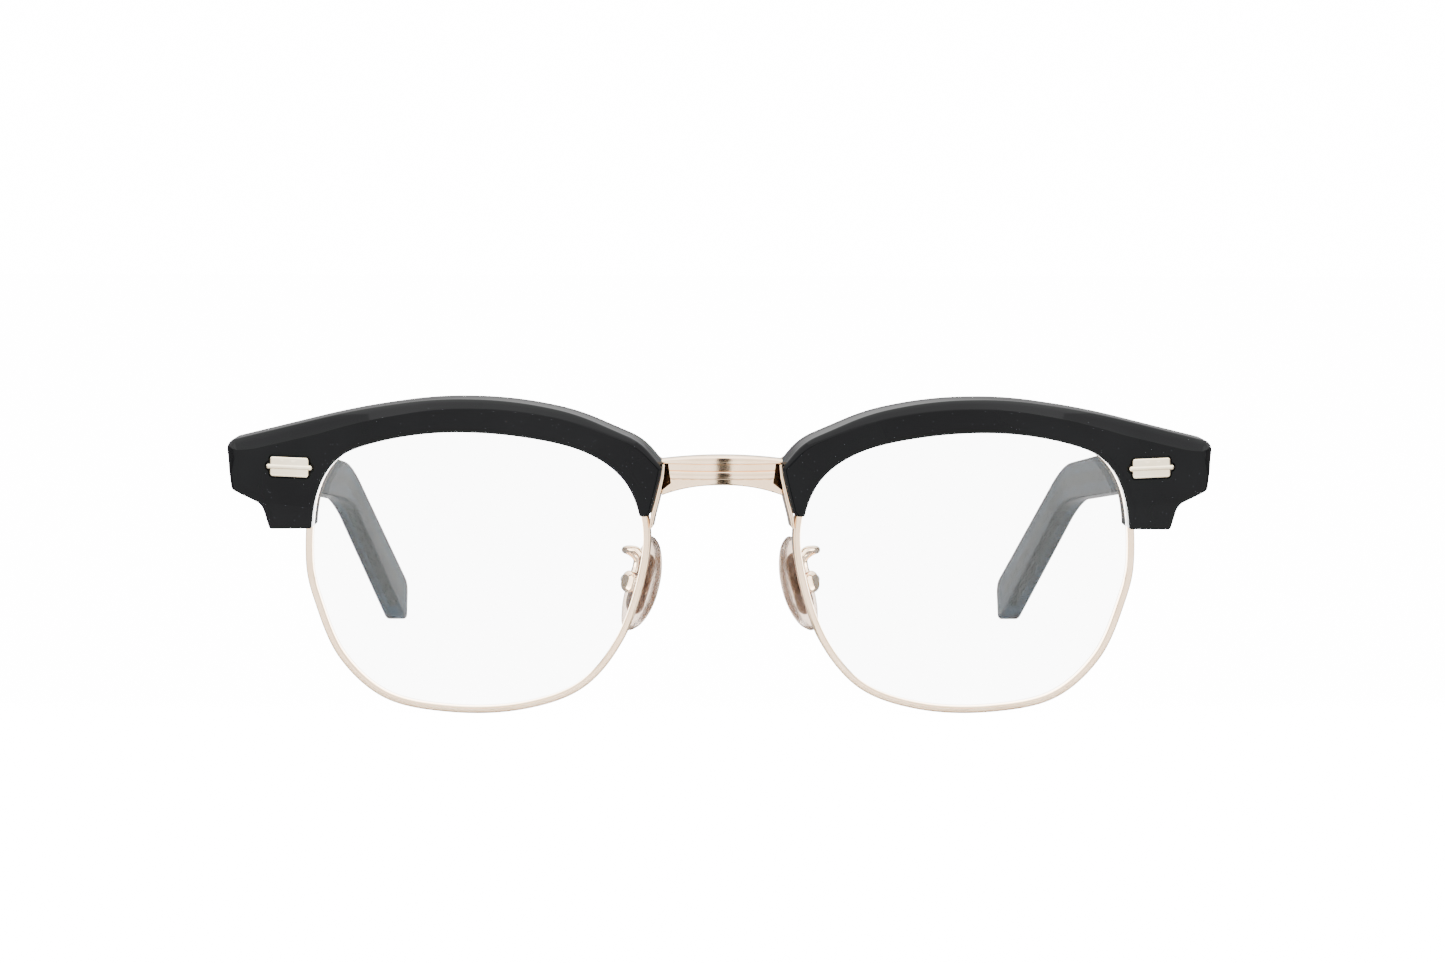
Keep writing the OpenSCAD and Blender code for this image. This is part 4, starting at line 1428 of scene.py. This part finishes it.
@dataclass
class SmallMetal:
    """Hinge leaves, end pieces, locks and pins, with their edges broken."""

    dresser: Dresser
    screws: bpy.types.NodeTree
    softness: float = 0.07
    crease: float = math.radians(40)
    brow_screw: Corner = (13.7, 3.3, 5.22)

    def dome(self, pad: PadPlace) -> Shell:
        """Builds the rounded form of the left pad box, closed over its slot."""
        outline = evenly(rounded_box(2.92, 3.22, 1.3), 0.2)
        return slab(outline, -1.16, 0.56, Edge(0.55, 0.5, 0.1, 0.12),
                    lambda flat, deep: pad.laid(flat, -deep), 1.0)

    def softened(self, node: str, finish: Finishes, body: str, softness: float,
                 within: Shell | None = None) -> None:
        """Replaces a node by a copy of it with softly broken edges.

        Args:
            node: the frame's node.
            finish: the copy's finish.
            body: the body that it rides on.
            softness: width of the broken edges, in millimetres.
            within: form that the copy is cut down to.
        """
        work = bmesh.new()
        work.from_mesh(frame["nodes"][node].data)
        bmesh.ops.remove_doubles(work, verts=work.verts, dist=2e-6)
        bmesh.ops.dissolve_limit(work, angle_limit=math.radians(1), verts=work.verts,
                                 edges=work.edges)
        mesh = bpy.data.meshes.new(f"{node}_part")
        work.to_mesh(mesh)
        work.free()
        piece = new_object(f"{node}_part", mesh)
        if within:
            carved(piece, within, "INTERSECT")
        bevel = piece.modifiers.new("edges", "BEVEL")
        bevel.width = softness * MM
        bevel.segments = 4
        bevel.limit_method = "ANGLE"
        bevel.angle_limit = self.crease
        applied(piece)
        shaded(piece.data, self.crease)
        self.dresser.dress(piece, finish, body, node)

    def screw_pair(self, name: str, spot: np.ndarray, axis: np.ndarray,
                   sizes: tuple[float, float, float, float]) -> None:
        """Sets a screw on each side.

        Args:
            name: the nodes' name without the side.
            spot: the left screw's place under its head, in metres.
            axis: the way out of the head.
            sizes: shank radius, head radius, head height and length, in millimetres.
        """
        flip = np.array([-1, 1, 1])
        values = dict(zip(("Shank Radius", "Head Radius", "Head Height", "Length"),
                          (value * MM for value in sizes)))
        values["Slot Width"] = sizes[1] * 0.3 * MM
        values["Finish"] = self.dresser.material(Finishes.STEEL)
        piece = tree_object(f"{name}s", self.screws, np.array([spot, spot * flip]), [],
                            values, np.array([axis, axis * flip]))
        tidied(piece)
        self.dresser.dress(piece, Finishes.STEEL, "front", f"{name}_left", f"{name}_right")

    def build(self, temple: TemplePlace, pad: PadPlace) -> None:
        """Builds the hinges, end pieces, locks, boxes, pins and screws."""
        for side in Side:
            word = side.value
            for node, finish, body in (
                    ("rim_lock", Finishes.ROSE_GOLD, "front"),
                    ("end_piece", Finishes.ROSE_GOLD, "front"),
                    ("front_hinge", Finishes.STEEL, "front"),
                    ("temple_hinge", Finishes.STEEL, f"temple_{word}"),
                    ("temple_rivets", Finishes.PLAQUE, f"temple_{word}")):
                self.softened(f"{node}_{word}", finish, body, self.softness)
            self.softened(f"pad_box_{word}", Finishes.ROSE_GOLD, "front", self.softness,
                          self.dome(pad).on(side))
        across, high, behind = self.brow_screw
        deep = float(HALF.depth(np.array([[across, high]]), behind)[0])
        for name, move, spot, way, sizes in (
                ("hinge_screw", temple.world, (0, 0, 2.75), (0, 0, 1), (0.59, 1.08, 0.58, 5.45)),
                ("pad_screw", pad.world, (0, 1.45, 0), (0, 1, 0), (0.44, 0.74, 0.48, 2.85)),
                ("rim_lock_screw", HALF.half, (61.7, 6.1, -5.9), (0, 0, -1),
                 (0.54, 0.84, 0.58, 4.35)),
                ("brow_screw", HALF.half, (across, deep, high), (0, 1, 0),
                 (0.59, 0.96, 0.5, 3.0))):
            self.screw_pair(name, carried(move, spot), direction(move, way), sizes)


# ---- studio -------------------------------------------------------------------


@dataclass
class Studio:
    """Pale floor, soft lights and the camera.

    Attributes:
        distance: from the camera to the bridge.
        front_glow: strength of the surround in front of the eyeglasses.
        back_glow: its strength behind them.
        top_glow: its strength above them.
        seen_glow: strength of the surround where it is seen directly or through glass.
        floor_glow: strength of the floor where it is seen so.
        glass_share: share of it that glass shows of what is in front.
    """

    distance: float = 0.6
    focal: float = 103.3
    elevation: float = math.radians(3.45)
    azimuth: float = math.radians(-1.3)
    roll: float = math.radians(0.146)
    front_glow: float = 2.8
    back_glow: float = 0.45
    top_glow: float = 3.6
    seen_glow: float = 16.0
    floor_glow: float = 15.0
    glass_share: float = 0.25
    floor_size: float = 6.0
    floor_near: float = -0.31
    overhead: Corner = (0.0, 0.1, 1.3)
    overhead_size: float = 1.6
    overhead_power: float = 14.0
    flag_half: float = 0.0032
    flag_shift: float = 0.0014
    flag_near: float = 0.03
    flag_low: float = 0.0015
    flag_high: float = 0.09

    def camera(self) -> None:
        """Aims the camera at the bridge from in front and a little above."""
        data = bpy.data.cameras.new("camera")
        data.sensor_width = 36.0
        data.lens = self.focal
        data.clip_start = 0.01
        data.clip_end = 20
        camera = new_object("camera", data)
        away = Vector((math.sin(self.azimuth) * math.cos(self.elevation),
                       -math.cos(self.azimuth) * math.cos(self.elevation),
                       math.sin(self.elevation)))
        camera.location = Vector(carried(HALF.front, (0, 0, 0))) + away * self.distance
        aim = (-away).to_track_quat("-Z", "Y")
        camera.rotation_euler = (aim @ Quaternion((0, 0, 1), self.roll)).to_euler()
        bpy.context.scene.camera = camera

    def seen(self, tree: bpy.types.NodeTree, along: bpy.types.NodeSocket,
             line: tuple[float, float]) -> bpy.types.NodeSocket:
        """Masks what the camera sees directly, or through glass and behind it.

        Args:
            tree: the tree that gets the mask.
            along: the value that tells what is behind.
            line: the values between which things begin to count as behind.
        """
        path = add_node(tree, "ShaderNodeLightPath")
        behind = map_range(tree, along, line, (self.glass_share, 1.0))
        glass = math_node(tree, "MULTIPLY", path["Is Transmission Ray"], behind)
        return math_node(tree, "MAXIMUM", path["Is Camera Ray"], glass)

    def floor(self) -> None:
        """Lays a wide pale floor under the eyeglasses, which fades into the surround."""
        size, near = self.floor_size, self.floor_near
        mesh = new_mesh("floor", [(-size, near, 0), (size, near, 0), (size, size, 0),
                                  (-size, size, 0)], [], [(0, 1, 2, 3)])
        material, tree, shader = new_material("pale_floor")
        along = axes_of(tree, "Object")["Y"]
        glow = math_node(tree, "MULTIPLY", self.seen(tree, along, (-0.11, -0.07)), self.floor_glow)
        feed(tree, shader, {
            "Base Color": map_range(tree, along, (-0.10, -0.05), (0.85, 0.12)), "Roughness": 0.9,
            "Specular IOR Level": 0.1, "Emission Color": (1, 1, 1, 1), "Emission Strength": glow})
        mesh.materials.append(material)
        new_object("floor", mesh)

    def surround(self) -> None:
        """Makes a soft surround, dimmer behind, that looks white to the camera."""
        world = bpy.data.worlds.new("surround")
        world.use_nodes = True
        tree = world.node_tree
        axes = axes_of(tree, "Generated")
        level = map_range(tree, axes["Y"], (-0.75, 0.1), (self.front_glow, self.back_glow), True)
        high = map_range(tree, axes["Z"], (0.05, 0.6), (0.0, self.top_glow), True)
        strength = add_node(tree, "ShaderNodeMix", {
            "Factor": self.seen(tree, axes["Y"], (-0.05, 0.05)),
            "A": math_node(tree, "MAXIMUM", level, high), "B": self.seen_glow})
        feed(tree, tree.nodes["Background"], {
            "Strength": strength["Result"], "Color": (1, 1, 1, 1)})
        bpy.context.scene.world = world

    def light(self) -> None:
        """Hangs a broad soft light over the eyeglasses."""
        data = bpy.data.lights.new("overhead", "AREA")
        data.size = self.overhead_size
        data.energy = self.overhead_power
        light = new_object("overhead", data)
        light.location = self.overhead
        light.rotation_euler = (-Vector(self.overhead)).to_track_quat("-Z", "Y").to_euler()

    def flag(self) -> None:
        """Stands a narrow dark card before the bridge, which only polished metal mirrors."""
        x, y, _ = carried(HALF.front, (0, 0, 0))
        left, right = x + self.flag_shift - self.flag_half, x + self.flag_shift + self.flag_half
        near, low, high = y - self.flag_near, self.flag_low, self.flag_high
        mesh = new_mesh("flag", [(left, y, low), (right, y, low), (right, near, low),
                                 (left, near, low), (right, near, high), (left, near, high)],
                        [], [(0, 1, 2, 3), (3, 2, 4, 5)])
        flag = new_object("flag", mesh)
        material, tree, shader = new_material("dark_cloth")
        feed(tree, shader, {"Base Color": (0.004, 0.003, 0.002, 1), "Specular IOR Level": 0.0})
        mesh.materials.append(material)
        flag.visible_camera = False
        flag.visible_diffuse = False
        flag.visible_transmission = False
        flag.visible_shadow = False

    def build(self) -> None:
        """Builds the whole studio."""
        self.camera()
        self.floor()
        self.flag()
        self.surround()
        self.light()


def main() -> None:
    """Builds every piece in order."""
    logging.basicConfig(level=logging.INFO, format="%(name)s: %(message)s")
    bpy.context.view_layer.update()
    Studio().build()
    dresser = Dresser()
    sweep, screws = sweep_tree(), screw_tree()
    plaques = Plaques(dresser)
    Rims(dresser, sweep).build()
    Brows(dresser).build(plaques.outline())
    plaques.build()
    Bridge(dresser).build()
    temples = Temples(dresser, sweep)
    temples.build()
    pads = NosePads(dresser, sweep)
    pads.build()
    SmallMetal(dresser, screws).build(temples.place, pads.place)


if __name__ == "__main__":
    main()
